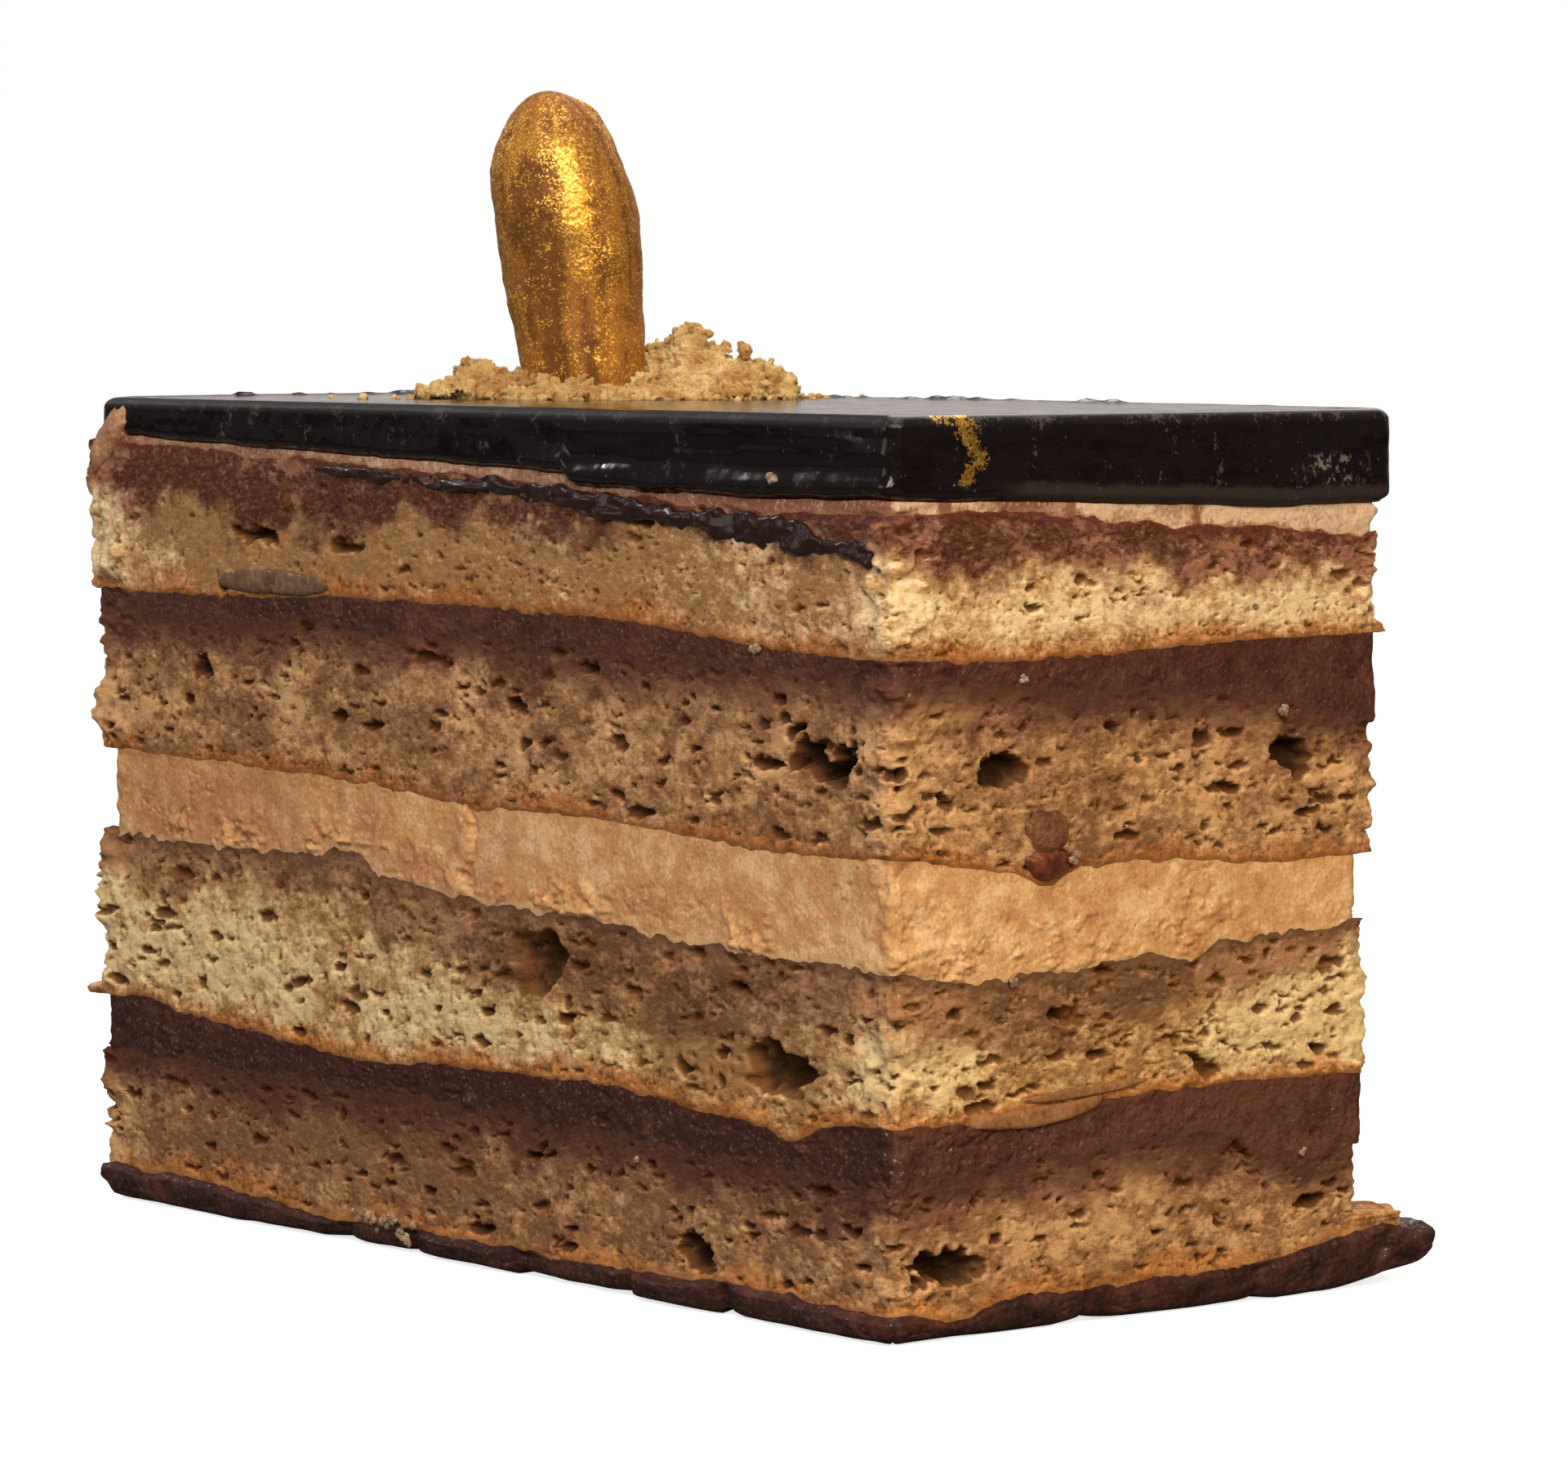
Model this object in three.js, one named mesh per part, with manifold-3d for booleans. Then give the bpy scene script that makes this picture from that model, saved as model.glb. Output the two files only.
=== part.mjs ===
/**
 * A slice of opera cake, standing on its chocolate foot.
 *
 * Four almond sponges, two ganaches and two coffee buttercreams lie between a chocolate foot and
 * a dark chocolate glaze, with a gilded nut and biscuit crumble on top. Every layer is a solid
 * that runs through the slice: two neighbours share the cut surface between them point for point.
 *
 * Millimetres, +Z up. The origin is the middle of the flat underside and +X runs along the slice.
 */
import * as THREE from 'three';
import Module from 'manifold-3d';
import { mergeVertices } from 'three/addons/utils/BufferGeometryUtils.js';

// The slice without its glaze overhang.
const LENGTH = 85.3;
const WIDTH = 39.9;
const HEIGHT = 55;
const CORNER_RADIUS = 1.3;

// How finely an outline is stepped: one count per side (front, right, back, left) and per corner.
const SIDE_STEPS = [32, 17, 20, 11];
const CORNER_STEPS = 3;

// The glaze's rounded upper edge, and how far a cut surface stops short of the layers' sides.
const GLAZE_EDGE = 1.0;
const CUT_INSET = 0.15;
const SEED = 4127;

/**
 * Heights of the cuts between the layers, from the foot up. Each cut is given at equal steps
 * along the front edge, left to right, and then along the right end, front to back.
 */
const CUTS = [
  { front: [2.1, 1.9, 1.0, 1.4, 1.2, 1.7, 1.8], right: [1.8, 2.1, 2.1, 2.4, 3.9] },
  { front: [10.2, 10.2, 10.1, 10.0, 9.8, 9.5, 9.0], right: [9.0, 10.0, 11.0, 9.2, 9.4] },
  { front: [13.9, 13.2, 12.2, 12.6, 13.0, 12.0, 12.9], right: [12.9, 13.0, 13.6, 13.8, 13.6] },
  { front: [25.3, 24.9, 25.0, 23.5, 23.2, 22.3, 22.0], right: [22.0, 21.5, 21.9, 22.7, 23.0] },
  { front: [31.0, 30.8, 30.4, 29.6, 29.6, 28.7, 28.8], right: [28.8, 27.6, 27.8, 27.2, 27.4] },
  { front: [40.3, 40.3, 40.3, 40.3, 40.0, 39.6, 39.3], right: [39.3, 38.7, 38.0, 37.5, 35.6] },
  { front: [42.0, 41.9, 42.3, 42.2, 42.0, 41.1, 40.6], right: [40.6, 40.3, 40.7, 40.9, 41.1] },
  { front: [51.7, 51.3, 50.9, 50.3, 49.5, 49.1, 49.1], right: [49.1, 49.1, 48.2, 47.8, 47.1] },
  { front: [52.5, 52.0, 51.6, 51.2, 50.3, 49.9, 49.9], right: [49.9, 49.7, 49.4, 49.1, 49.2] },
];

/**
 * The layers from the foot up. `out` is how far each side (front, right, back, left) stands
 * proud of the slice, `ragged` the depth of its torn crumb, `rows` the rings up its side.
 */
const LAYERS = [
  { name: 'chocolate_base', colour: '#3a2520', gloss: 0.45, out: [0.2, 0.2, 4.6, 0.9], ragged: 0.25, rows: 3 },
  { name: 'sponge_bottom', colour: '#8a6340', gloss: 0.9, out: [0, 0, -2.4, 0.5], ragged: 0.55, rows: 5 },
  { name: 'ganache_lower', colour: '#4a2c21', gloss: 0.6, out: [-0.1, -0.1, -2.2, 0.1], ragged: 0.2, rows: 2 },
  { name: 'sponge_lower_middle', colour: '#b59a68', gloss: 0.9, out: [0, 0, -2.1, 0.9], ragged: 0.6, rows: 5 },
  { name: 'buttercream_middle', colour: '#b98a5f', gloss: 0.55, out: [-0.3, -0.3, -3.0, -1.7], ragged: 0.3, rows: 4 },
  { name: 'sponge_upper_middle', colour: '#8a6340', gloss: 0.9, out: [0, 0, -1.6, 0.9], ragged: 0.6, rows: 5 },
  { name: 'ganache_upper', colour: '#4a2c21', gloss: 0.6, out: [-0.1, -0.1, -1.5, 0.1], ragged: 0.2, rows: 2 },
  { name: 'sponge_top', colour: '#a98358', gloss: 0.9, out: [0, 0, -1.2, 2.0], ragged: 0.6, rows: 5 },
  { name: 'buttercream_top', colour: '#c2946a', gloss: 0.55, out: [-0.2, -0.5, -1.3, 0.2], ragged: 0.12, rows: 1 },
  { name: 'chocolate_glaze', colour: '#191212', gloss: 0.15, out: [0.2, 0.1, 0.1, 0.1], ragged: 0.08, rows: 4 },
];

/** The largest torn holes: side 0 is the front and 1 the right end, `at` the place along it. */
const TEARS = [
  { layer: 'sponge_upper_middle', side: 0, at: 36, up: 34.1, wide: 4.6, high: 1.6, deep: 2.2 },
  { layer: 'sponge_upper_middle', side: 1, at: -11.7, up: 33.7, wide: 2.2, high: 1.4, deep: 1.5 },
  { layer: 'sponge_upper_middle', side: 1, at: 11.7, up: 33.5, wide: 2.6, high: 1.4, deep: 1.5 },
  { layer: 'sponge_upper_middle', side: 1, at: -8.0, up: 29.6, wide: 2.0, high: 1.6, deep: 1.4 },
  { layer: 'sponge_lower_middle', side: 0, at: 31.5, up: 15.6, wide: 3.6, high: 2.2, deep: 1.8 },
  { layer: 'sponge_lower_middle', side: 0, at: 8.0, up: 20.0, wide: 3.6, high: 2.2, deep: 1.3 },
  { layer: 'sponge_bottom', side: 0, at: 23.8, up: 3.4, wide: 2.2, high: 1.3, deep: 1.6 },
  { layer: 'sponge_bottom', side: 1, at: -16.0, up: 4.0, wide: 2.8, high: 1.4, deep: 1.8 },
];

// The foot: how far its rim curls in to the flat underside, and the crust tongue at the back.
const FOOT_UNDERCUT = [0.9, 0.9, 1.4, 3.2];
const TONGUE = { out: 2.6, from: 8, foot: 0.25 };

// The gilded nut: a blunt kernel that stands in the crumble and leans a little to the left.
const NUT = {
  x: -17.0, y: 2.2, height: 21.0, footRadius: 4.15, bellyRadius: 4.93, bellyHeight: 12.5,
  lean: 2.1, flatten: 0.9, steps: 20, rings: 16, groove: 0.16, beak: 0.5,
};

// The crumble lies in a long heap across the slice, `HEAP_TURN` away from +X.
const HEAP_TURN = THREE.MathUtils.degToRad(51.5);
const HEAP = { reach: 12.6, shift: 1.9, depth: 7.2, steps: 28, rings: 5, edge: 0.5 };
const MOUNDS = [
  { along: -7.0, across: 0.4, high: 2.3, wide: 3.4 },
  { along: 6.6, across: 1.2, high: 3.9, wide: 3.4 },
  { along: 11.6, across: 0.6, high: 1.8, wide: 3.0 },
  { along: 0, across: -4.4, high: 0.8, wide: 2.4 },
];
const CRUMB = { count: 64, small: 0.6, large: 1.2, lift: 0.15 };
const NUT_CLEARANCE = 0.3;

/** A seeded source of numbers from 0 to 1. */
function seeded(seed) {
  let state = seed >>> 0;
  return () => {
    state = (state + 0x6d2b79f5) >>> 0;
    let mixed = Math.imul(state ^ (state >>> 15), 1 | state);
    mixed = (mixed + Math.imul(mixed ^ (mixed >>> 7), 61 | mixed)) ^ mixed;
    return ((mixed ^ (mixed >>> 14)) >>> 0) / 4294967296;
  };
}

/** The value at `share` (0 to 1) of a smooth curve through equally spaced heights. */
function along(heights, share) {
  const last = heights.length - 1;
  const place = THREE.MathUtils.clamp(share, 0, 1) * last;
  const step = Math.min(Math.floor(place), last - 1);
  const before = heights[Math.max(step - 1, 0)];
  const after = heights[Math.min(step + 2, last)];
  const [here, next] = [heights[step], heights[step + 1]];
  const t = place - step;
  const slopeHere = (next - before) / 2;
  const slopeNext = (after - here) / 2;
  return here * (2 * t ** 3 - 3 * t ** 2 + 1) + slopeHere * (t ** 3 - 2 * t ** 2 + t)
    + next * (3 * t ** 2 - 2 * t ** 3) + slopeNext * (t ** 3 - t ** 2);
}

/** The height of a cut at (x, y): the front's curve, tilted towards the right end's curve. */
function cutHeight(cut, x, y) {
  const across = x / LENGTH + 0.5;
  return along(cut.front, across) + (along(cut.right, y / WIDTH + 0.5) - cut.right[0]) * across;
}

/** Points round a rectangle with round corners, each with its outward normal and its side. */
function outline(out) {
  const [front, right, back, left] = out;
  const r = CORNER_RADIUS;
  const x = [-LENGTH / 2 - left + r, LENGTH / 2 + right - r];
  const y = [-WIDTH / 2 - front + r, WIDTH / 2 + back - r];
  const centres = [[x[0], y[0]], [x[1], y[0]], [x[1], y[1]], [x[0], y[1]]];
  const points = [];
  centres.forEach(([cx, cy], side) => {
    const [nextX, nextY] = centres[(side + 1) % 4];
    const start = -Math.PI + side * Math.PI / 2;
    for (let k = 0; k <= CORNER_STEPS; k += 1) {
      const a = start + (k / CORNER_STEPS) * Math.PI / 2;
      const normal = [Math.cos(a), Math.sin(a)];
      points.push({ x: cx + r * normal[0], y: cy + r * normal[1], normal, side });
    }
    const normal = [Math.round(Math.cos(start + Math.PI / 2)), Math.round(Math.sin(start + Math.PI / 2))];
    for (let k = 1; k < SIDE_STEPS[side]; k += 1) {
      const t = k / SIDE_STEPS[side];
      const px = cx + (nextX - cx) * t + r * normal[0];
      points.push({ x: px, y: cy + (nextY - cy) * t + r * normal[1], normal, side });
    }
  });
  return points;
}

/** The outermost ring of a cut: it stays inside the sides of both layers that share it. */
function cutRing(cut, below, above) {
  const out = below.out.map((value, side) => Math.min(value, above.out[side]) - CUT_INSET);
  return outline(out).map(({ x, y }) => [x, y, cutHeight(cut, x, y)]);
}

/** How deep the torn holes of a layer go at a point of its side. */
function tearDepth(layer, point, z) {
  const place = point.side === 0 ? point.x : point.y;
  return TEARS.filter((tear) => tear.layer === layer.name && tear.side === point.side)
    .reduce((deep, tear) => deep + tear.deep
      * Math.exp(-(((place - tear.at) / tear.wide) ** 2) - (((z - tear.up) / tear.high) ** 2)), 0);
}

/** How far the crust of the bottom sponge sticks out over the foot at the back right. */
function tongue(layer, point, share) {
  if (layer.name !== 'sponge_bottom' || point.side !== 2) return 0;
  return TONGUE.out * THREE.MathUtils.smoothstep(point.x, TONGUE.from, LENGTH / 2)
    * Math.exp(-((share / TONGUE.foot) ** 2));
}

/** The rings up the side of a layer, between the cuts below and above it. */
function sideRings(layer, low, high, random) {
  const rings = [];
  for (let row = 0; row < layer.rows; row += 1) {
    const share = (row + 0.5) / layer.rows;
    rings.push(outline(layer.out).map((point) => {
      const bottom = low(point.x, point.y);
      const z = bottom + (high(point.x, point.y) - bottom) * share;
      const crags = layer.ragged * (2 * random() - 1);
      const move = crags - tearDepth(layer, point, z) + tongue(layer, point, share);
      return [point.x + point.normal[0] * move, point.y + point.normal[1] * move, z];
    }));
  }
  return rings;
}

/** A closed solid from rings stacked upwards, with a fan of triangles over each end. */
function stack(rings, endLow, endHigh) {
  const count = rings[0].length;
  const positions = [...rings.flat(), endLow, endHigh].flat();
  const low = rings.length * count;
  const index = [];
  for (let j = 0; j < count; j += 1) {
    const k = (j + 1) % count;
    index.push(low, k, j);
    for (let row = 0; row + 1 < rings.length; row += 1) {
      const [a, b] = [row * count + j, row * count + k];
      index.push(a, b, b + count, a, b + count, a + count);
    }
    index.push(low + 1, low - count + j, low - count + k);
  }
  const geometry = new THREE.BufferGeometry();
  geometry.setAttribute('position', new THREE.Float32BufferAttribute(positions, 3));
  geometry.setIndex(index);
  return geometry;
}

function mesh(name, geometry, colour, roughness, metalness = 0) {
  geometry.computeVertexNormals();
  const material = new THREE.MeshStandardMaterial({ color: colour, roughness, metalness });
  const object = new THREE.Mesh(geometry, material);
  object.name = name;
  return object;
}

/** The ten layers, each between its two cuts; the foot is flat below, the glaze flat above. */
function layers() {
  const random = seeded(SEED);
  const rings = CUTS.map((cut, k) => cutRing(cut, LAYERS[k], LAYERS[k + 1]));
  const under = LAYERS[0].out.map((value, side) => value - FOOT_UNDERCUT[side]);
  const top = LAYERS.at(-1).out.map((value) => value - GLAZE_EDGE);
  rings.unshift(outline(under).map(({ x, y }) => [x, y, 0]));
  rings.push(outline(top).map(({ x, y }) => [x, y, HEIGHT]));
  const heights = [() => 0, ...CUTS.map((cut) => (x, y) => cutHeight(cut, x, y)), () => HEIGHT];
  return LAYERS.map((layer, k) => {
    const side = sideRings(layer, heights[k], heights[k + 1], random);
    const middle = [heights[k](0, 0), heights[k + 1](0, 0)];
    const geometry = stack([rings[k], ...side, rings[k + 1]], [0, 0, middle[0]], [0, 0, middle[1]]);
    return mesh(layer.name, geometry, layer.colour, layer.gloss);
  });
}

/** The nut's radius at a height above the glaze: a barrel that closes in a blunt dome. */
function nutRadius(height) {
  const { bellyHeight, bellyRadius, footRadius } = NUT;
  if (height < bellyHeight) {
    return footRadius + (bellyRadius - footRadius) * THREE.MathUtils.smoothstep(height, 0, bellyHeight);
  }
  const dome = (height - bellyHeight) / (NUT.height - bellyHeight);
  return bellyRadius * (1 - dome ** 2) ** 0.55;
}

/** The nut, or with `grow` a fatter copy of it that cuts the crumble clear of it. */
function nutGeometry(grow = 0) {
  const rings = [];
  for (let row = 0; row < NUT.rings; row += 1) {
    const share = Math.sin((row / NUT.rings) * Math.PI / 2);
    const height = share * NUT.height;
    const radius = nutRadius(height) + grow;
    const shift = NUT.lean * share;
    rings.push(Array.from({ length: NUT.steps }, (_, k) => {
      const a = (k / NUT.steps) * 2 * Math.PI;
      const r = radius - NUT.groove * (1 - share) * Math.cos(3 * a + 2.2 * share) ** 2;
      const u = r * Math.cos(a) - shift;
      const w = r * NUT.flatten * Math.sin(a);
      return heapPoint(u, w, HEIGHT + height - grow * 2 * Number(row === 0));
    }));
  }
  const crown = heapPoint(NUT.beak - NUT.lean, 0, HEIGHT + NUT.height + grow);
  return stack(rings, heapPoint(0, 0, HEIGHT - grow * 2), crown);
}

/** A point `u` along the heap and `w` across it, both from the nut's foot. */
function heapPoint(u, w, z) {
  const [cos, sin] = [Math.cos(HEAP_TURN), Math.sin(HEAP_TURN)];
  return [NUT.x + u * cos - w * sin, NUT.y + u * sin + w * cos, z];
}

/** The height of the crumble's core above the glaze. */
function heapHeight(u, w) {
  return MOUNDS.reduce((high, mound) => high + mound.high
    * Math.exp(-(((u - mound.along) / mound.wide) ** 2) - (((w - mound.across) / mound.wide) ** 2)), 0);
}

/** Turns a closed three.js geometry into a solid for joining and cutting. */
function solidOf(wasm, geometry) {
  const bare = geometry.clone();
  bare.deleteAttribute('normal');
  bare.deleteAttribute('uv');
  const merged = mergeVertices(bare, 1e-5);
  return new wasm.Manifold(new wasm.Mesh({
    numProp: 3,
    vertProperties: new Float32Array(merged.attributes.position.array),
    triVerts: new Uint32Array(merged.index.array),
  }));
}

function geometryOf(solid) {
  const { vertProperties, triVerts } = solid.getMesh();
  const geometry = new THREE.BufferGeometry();
  geometry.setAttribute('position', new THREE.Float32BufferAttribute(vertProperties, 3));
  geometry.setIndex(new THREE.Uint32BufferAttribute(triVerts, 1));
  return geometry;
}

/** The place along and across the heap at an angle and a share (0 to 1) of its reach. */
function heapPlace(angle, share) {
  return [HEAP.shift + HEAP.reach * share * Math.cos(angle), HEAP.depth * share * Math.sin(angle)];
}

/** The low mound under the crumbs: an uneven oval that carries the mounds. */
function heapCore(random) {
  const edge = Array.from({ length: HEAP.steps }, () => 0.88 + 0.2 * random());
  const ring = (share, rise) => edge.map((size, k) => {
    const [u, w] = heapPlace((k / HEAP.steps) * 2 * Math.PI, size * share);
    return heapPoint(u, w, HEIGHT + rise(u, w));
  });
  const rings = [ring(1, () => 0)];
  for (let row = 0; row < HEAP.rings; row += 1) {
    const share = 1 - row / HEAP.rings;
    rings.push(ring(share, (u, w) => HEAP.edge * (1 - 0.5 * share) + heapHeight(u, w)));
  }
  const crown = heapPoint(HEAP.shift, 0, HEIGHT + HEAP.edge + heapHeight(HEAP.shift, 0));
  return stack(rings, heapPoint(HEAP.shift, 0, HEIGHT), crown);
}

/** One crumb of the heap: a turned and squashed lump, half sunk in the core. */
function crumb(random, k) {
  const golden = Math.PI * (3 - Math.sqrt(5));
  const [u, w] = heapPlace(k * golden, Math.sqrt((k + 0.5) / CRUMB.count));
  const radius = CRUMB.small + (CRUMB.large - CRUMB.small) * random() ** 2;
  const lump = new THREE.IcosahedronGeometry(radius, 0);
  lump.rotateX(random() * Math.PI);
  lump.rotateZ(random() * Math.PI);
  lump.scale(1, 0.75 + 0.5 * random(), 0.75 + 0.4 * random());
  lump.translate(...heapPoint(u, w, HEIGHT + HEAP.edge + heapHeight(u, w) + radius * CRUMB.lift));
  return lump;
}

/** The crumble: crumbs fused to their core, cut clear of the nut and of the glaze. */
function crumble(wasm) {
  const random = seeded(SEED + 1);
  let heap = solidOf(wasm, heapCore(random));
  for (let k = 0; k < CRUMB.count; k += 1) {
    heap = heap.add(solidOf(wasm, crumb(random, k)));
  }
  const slab = new THREE.BoxGeometry(LENGTH, WIDTH, HEIGHT);
  slab.translate(0, 0, HEIGHT / 2);
  heap = heap.subtract(solidOf(wasm, slab)).subtract(solidOf(wasm, nutGeometry(NUT_CLEARANCE)));
  const pieces = heap.decompose().sort((a, b) => b.volume() - a.volume());
  return geometryOf(pieces[0]);
}

const wasm = await Module();
wasm.setup();

const group = new THREE.Group();
group.add(...layers());
group.add(mesh('gilded_nut', nutGeometry(), '#b07a2a', 0.35, 0.7));
group.add(mesh('crumble', crumble(wasm), '#d8b078', 0.9));

export default group;
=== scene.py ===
"""A slice of opera cake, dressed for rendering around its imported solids.

Four almond sponges, two ganaches and two coffee buttercreams lie between a chocolate foot and a
dark glaze, with a gilded nut and biscuit crumble on top. Each layer is one closed surface that
wraps round the slice: a grid whose columns run round the outline and whose rows climb the side,
with crumb, pores and tears as outward moves of its points.

Sizes are millimetres in the slice's own frame: +X along the slice, +Z up, the origin in the
middle of the flat underside. Meshes are written in metres.
"""

from __future__ import annotations

import logging
import math
from collections.abc import Sequence
from dataclasses import dataclass, field, replace
from enum import Enum
from functools import cached_property

import bmesh
import bpy
import numpy as np
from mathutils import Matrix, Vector

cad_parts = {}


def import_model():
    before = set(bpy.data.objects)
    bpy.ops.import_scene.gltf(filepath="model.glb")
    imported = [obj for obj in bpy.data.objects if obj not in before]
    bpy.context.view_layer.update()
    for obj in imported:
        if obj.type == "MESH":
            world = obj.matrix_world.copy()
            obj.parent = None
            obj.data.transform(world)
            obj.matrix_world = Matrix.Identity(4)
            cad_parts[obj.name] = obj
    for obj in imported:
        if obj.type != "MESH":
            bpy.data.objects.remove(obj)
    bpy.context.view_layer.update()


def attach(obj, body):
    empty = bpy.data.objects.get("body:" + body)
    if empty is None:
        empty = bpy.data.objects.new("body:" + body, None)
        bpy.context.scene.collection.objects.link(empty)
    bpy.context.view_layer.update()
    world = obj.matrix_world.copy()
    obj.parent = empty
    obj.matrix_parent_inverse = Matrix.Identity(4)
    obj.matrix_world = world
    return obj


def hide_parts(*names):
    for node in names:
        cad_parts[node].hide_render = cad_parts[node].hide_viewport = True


LOG = logging.getLogger("opera_cake")
Colour = tuple[float, float, float]
Four = tuple[float, float, float, float]
Array = np.ndarray
Values = dict[str, Array]

MM = 0.001
LENGTH = 85.3
WIDTH = 39.9
HEIGHT = 55.0


def srgb(red: int, green: int, blue: int) -> Colour:
    """Linear colour from display values of 0 to 255, by the sRGB curve."""
    shares = (c / 255 for c in (red, green, blue))
    return tuple(c / 12.92 if c <= 0.04045 else ((c + 0.055) / 1.055) ** 2.4 for c in shares)


def smoothstep(low: float, high: float, value: Array) -> Array:
    """0 below low, 1 above high, and 3t^2 - 2t^3 between them."""
    share = np.clip((value - low) / (high - low), 0, 1)
    return share * share * (3 - 2 * share)


def bell(*away: Array) -> Array:
    """exp(-(a^2 + b^2 + ...)): 1 where every distance is 0, fading round it."""
    return np.exp(-sum(a**2 for a in away))


def each(kind: type, *rows: tuple) -> tuple:
    """One thing of a kind for each row of its values."""
    return tuple(kind(*row) for row in rows)


def through(heights: Sequence[float], share: Array) -> Array:
    """A smooth curve through equally spaced heights.

    Cubic Hermite pieces whose slope at each height is half the step between its neighbours.

    Args:
        heights: the heights, the first at share 0 and the last at share 1.
        share: where to read the curve.

    Returns:
        The curve's height at each share.
    """
    known = np.asarray(heights, float)
    padded = np.concatenate([known[:1], known, known[-1:]])
    slope = (padded[2:] - padded[:-2]) / 2
    place = np.clip(share, 0, 1) * (len(known) - 1)
    step = np.minimum(place.astype(int), len(known) - 2)
    t = place - step
    square, cube = t * t, t * t * t
    return (
        known[step] * (2 * cube - 3 * square + 1)
        + slope[step] * (cube - 2 * square + t)
        + known[step + 1] * (3 * square - 2 * cube)
        + slope[step + 1] * (cube - square)
    )


class Lattice:
    """Seeded smooth noise: random values at the corners of unit cubes, blended between them."""

    def __init__(self, seed: int) -> None:
        """Draws the corner values and their order from the seed."""
        random = np.random.default_rng(seed)
        self.order = random.permutation(256)
        self.values = random.uniform(-1, 1, 256)

    def at(self, x: Array, y: Array, z: Array, size: float) -> Array:
        """Noise from -1 to 1 whose lumps are about `size` across.

        Each point's cube has eight hashed corner values, weighted by the smoothstep of the
        point's place inside the cube.

        Args:
            x: first coordinate.
            y: second coordinate.
            z: third coordinate.
            size: side of a cube, in the coordinates' unit.

        Returns:
            The noise at each point.
        """
        places = [np.asarray(c, float) / size for c in np.broadcast_arrays(x, y, z)]
        cells = [np.floor(c).astype(int) for c in places]
        parts = [c - f for c, f in zip(places, cells)]
        parts = [t * t * (3 - 2 * t) for t in parts]
        total = np.zeros(places[0].shape)
        for corner in range(8):
            steps = (corner & 1, corner >> 1 & 1, corner >> 2)
            key = np.zeros(places[0].shape, int)
            weight = np.ones(places[0].shape)
            for cell, part, step in zip(cells, parts, steps):
                key = self.order[(key + cell + step) & 255]
                weight = weight * (part if step else 1 - part)
            total += weight * self.values[key]
        return total

    def fractal(
        self, x: Array, y: Array, z: Array, size: float, octaves: int = 3
    ) -> Array:
        """Sum of octaves, each half the size and half the strength of the one before."""
        return sum(self.at(x + 17.3 * k, y, z, size / 2**k) / 2**k for k in range(octaves))


class Face(Enum):
    """A cut face of the slice, by the direction it looks in."""

    FRONT = (0.0, -1.0)
    RIGHT = (1.0, 0.0)
    BACK = (0.0, 1.0)
    LEFT = (-1.0, 0.0)

    def along(self, x: Array, y: Array) -> Array:
        """The coordinate that runs along the face."""
        return x if self in (Face.FRONT, Face.BACK) else y

    def depth(self, x: Array, y: Array) -> Array:
        """How far a point lies behind the face."""
        half = WIDTH / 2 if self in (Face.FRONT, Face.BACK) else LENGTH / 2
        return half - self.value[0] * x - self.value[1] * y

    def faces(self, normal: Array) -> Array:
        """1 where a normal looks the face's way, 0 where it looks away, smooth between."""
        return smoothstep(0.5, 0.9, normal[..., 0] * self.value[0] + normal[..., 1] * self.value[1])


FRONT, RIGHT = Face.FRONT, Face.RIGHT


@dataclass(frozen=True)
class Swell:
    """A local rise (or, below 0, a dip) of a cut where it shows on a face."""

    face: Face
    at: float
    wide: float
    rise: float
    reach: float = 4.0

    def height(self, x: Array, y: Array) -> Array:
        """rise * exp(-(distance along / wide)^2 - (depth / reach)^2)."""
        away = (self.face.along(x, y) - self.at) / self.wide
        return self.rise * bell(away, self.face.depth(x, y) / self.reach)


@dataclass(frozen=True)
class Step:
    """A sudden change of a cut's height where x passes a place, such as a drip's edge."""

    at: float
    rise: float
    soft: float = 0.5

    def height(self, x: Array, y: Array) -> Array:
        """0 before the place and `rise` after it, smooth over twice `soft`."""
        return self.rise * smoothstep(self.at - self.soft, self.at + self.soft, x + 0 * y)


@dataclass(frozen=True)
class Cut:
    """The surface between two layers.

    Its height is a smooth curve along the front edge, tilted towards a second curve along the
    right end as x grows, plus swells and a fine waver that both neighbours share.
    """

    front: tuple[float, ...]
    right: tuple[float, ...]
    waver: float = 0.14
    waver_size: float = 3.0
    swells: tuple[Swell | Step, ...] = ()
    seed: int = 11
    fray: float = 0.14

    def height(self, x: Array, y: Array) -> Array:
        """The cut's height at (x, y)."""
        across = np.clip(x / LENGTH + 0.5, 0, 1)
        tilt = through(self.right, y / WIDTH + 0.5) - self.right[0]
        level = through(self.front, across) + tilt * across
        waves = Lattice(self.seed).fractal(x, y, 0 * x, self.waver_size, 3)
        patch = np.clip(0.8 + 1.2 * Lattice(self.seed).at(x, y, 0 * x + 5, 3.5), 0.2, 2)
        level = level + self.fray * patch * Lattice(self.seed).fractal(x, y, 0 * x + 9, 0.8, 3)
        return level + self.waver * waves + sum(s.height(x, y) for s in self.swells)


@dataclass(frozen=True)
class Level(Cut):
    """A flat cut: the underside or the top."""

    front: tuple[float, ...] = ()
    right: tuple[float, ...] = ()
    level: float = 0.0

    def height(self, x: Array, y: Array) -> Array:
        """The same height everywhere."""
        return np.full(np.shape(x), self.level)


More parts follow.
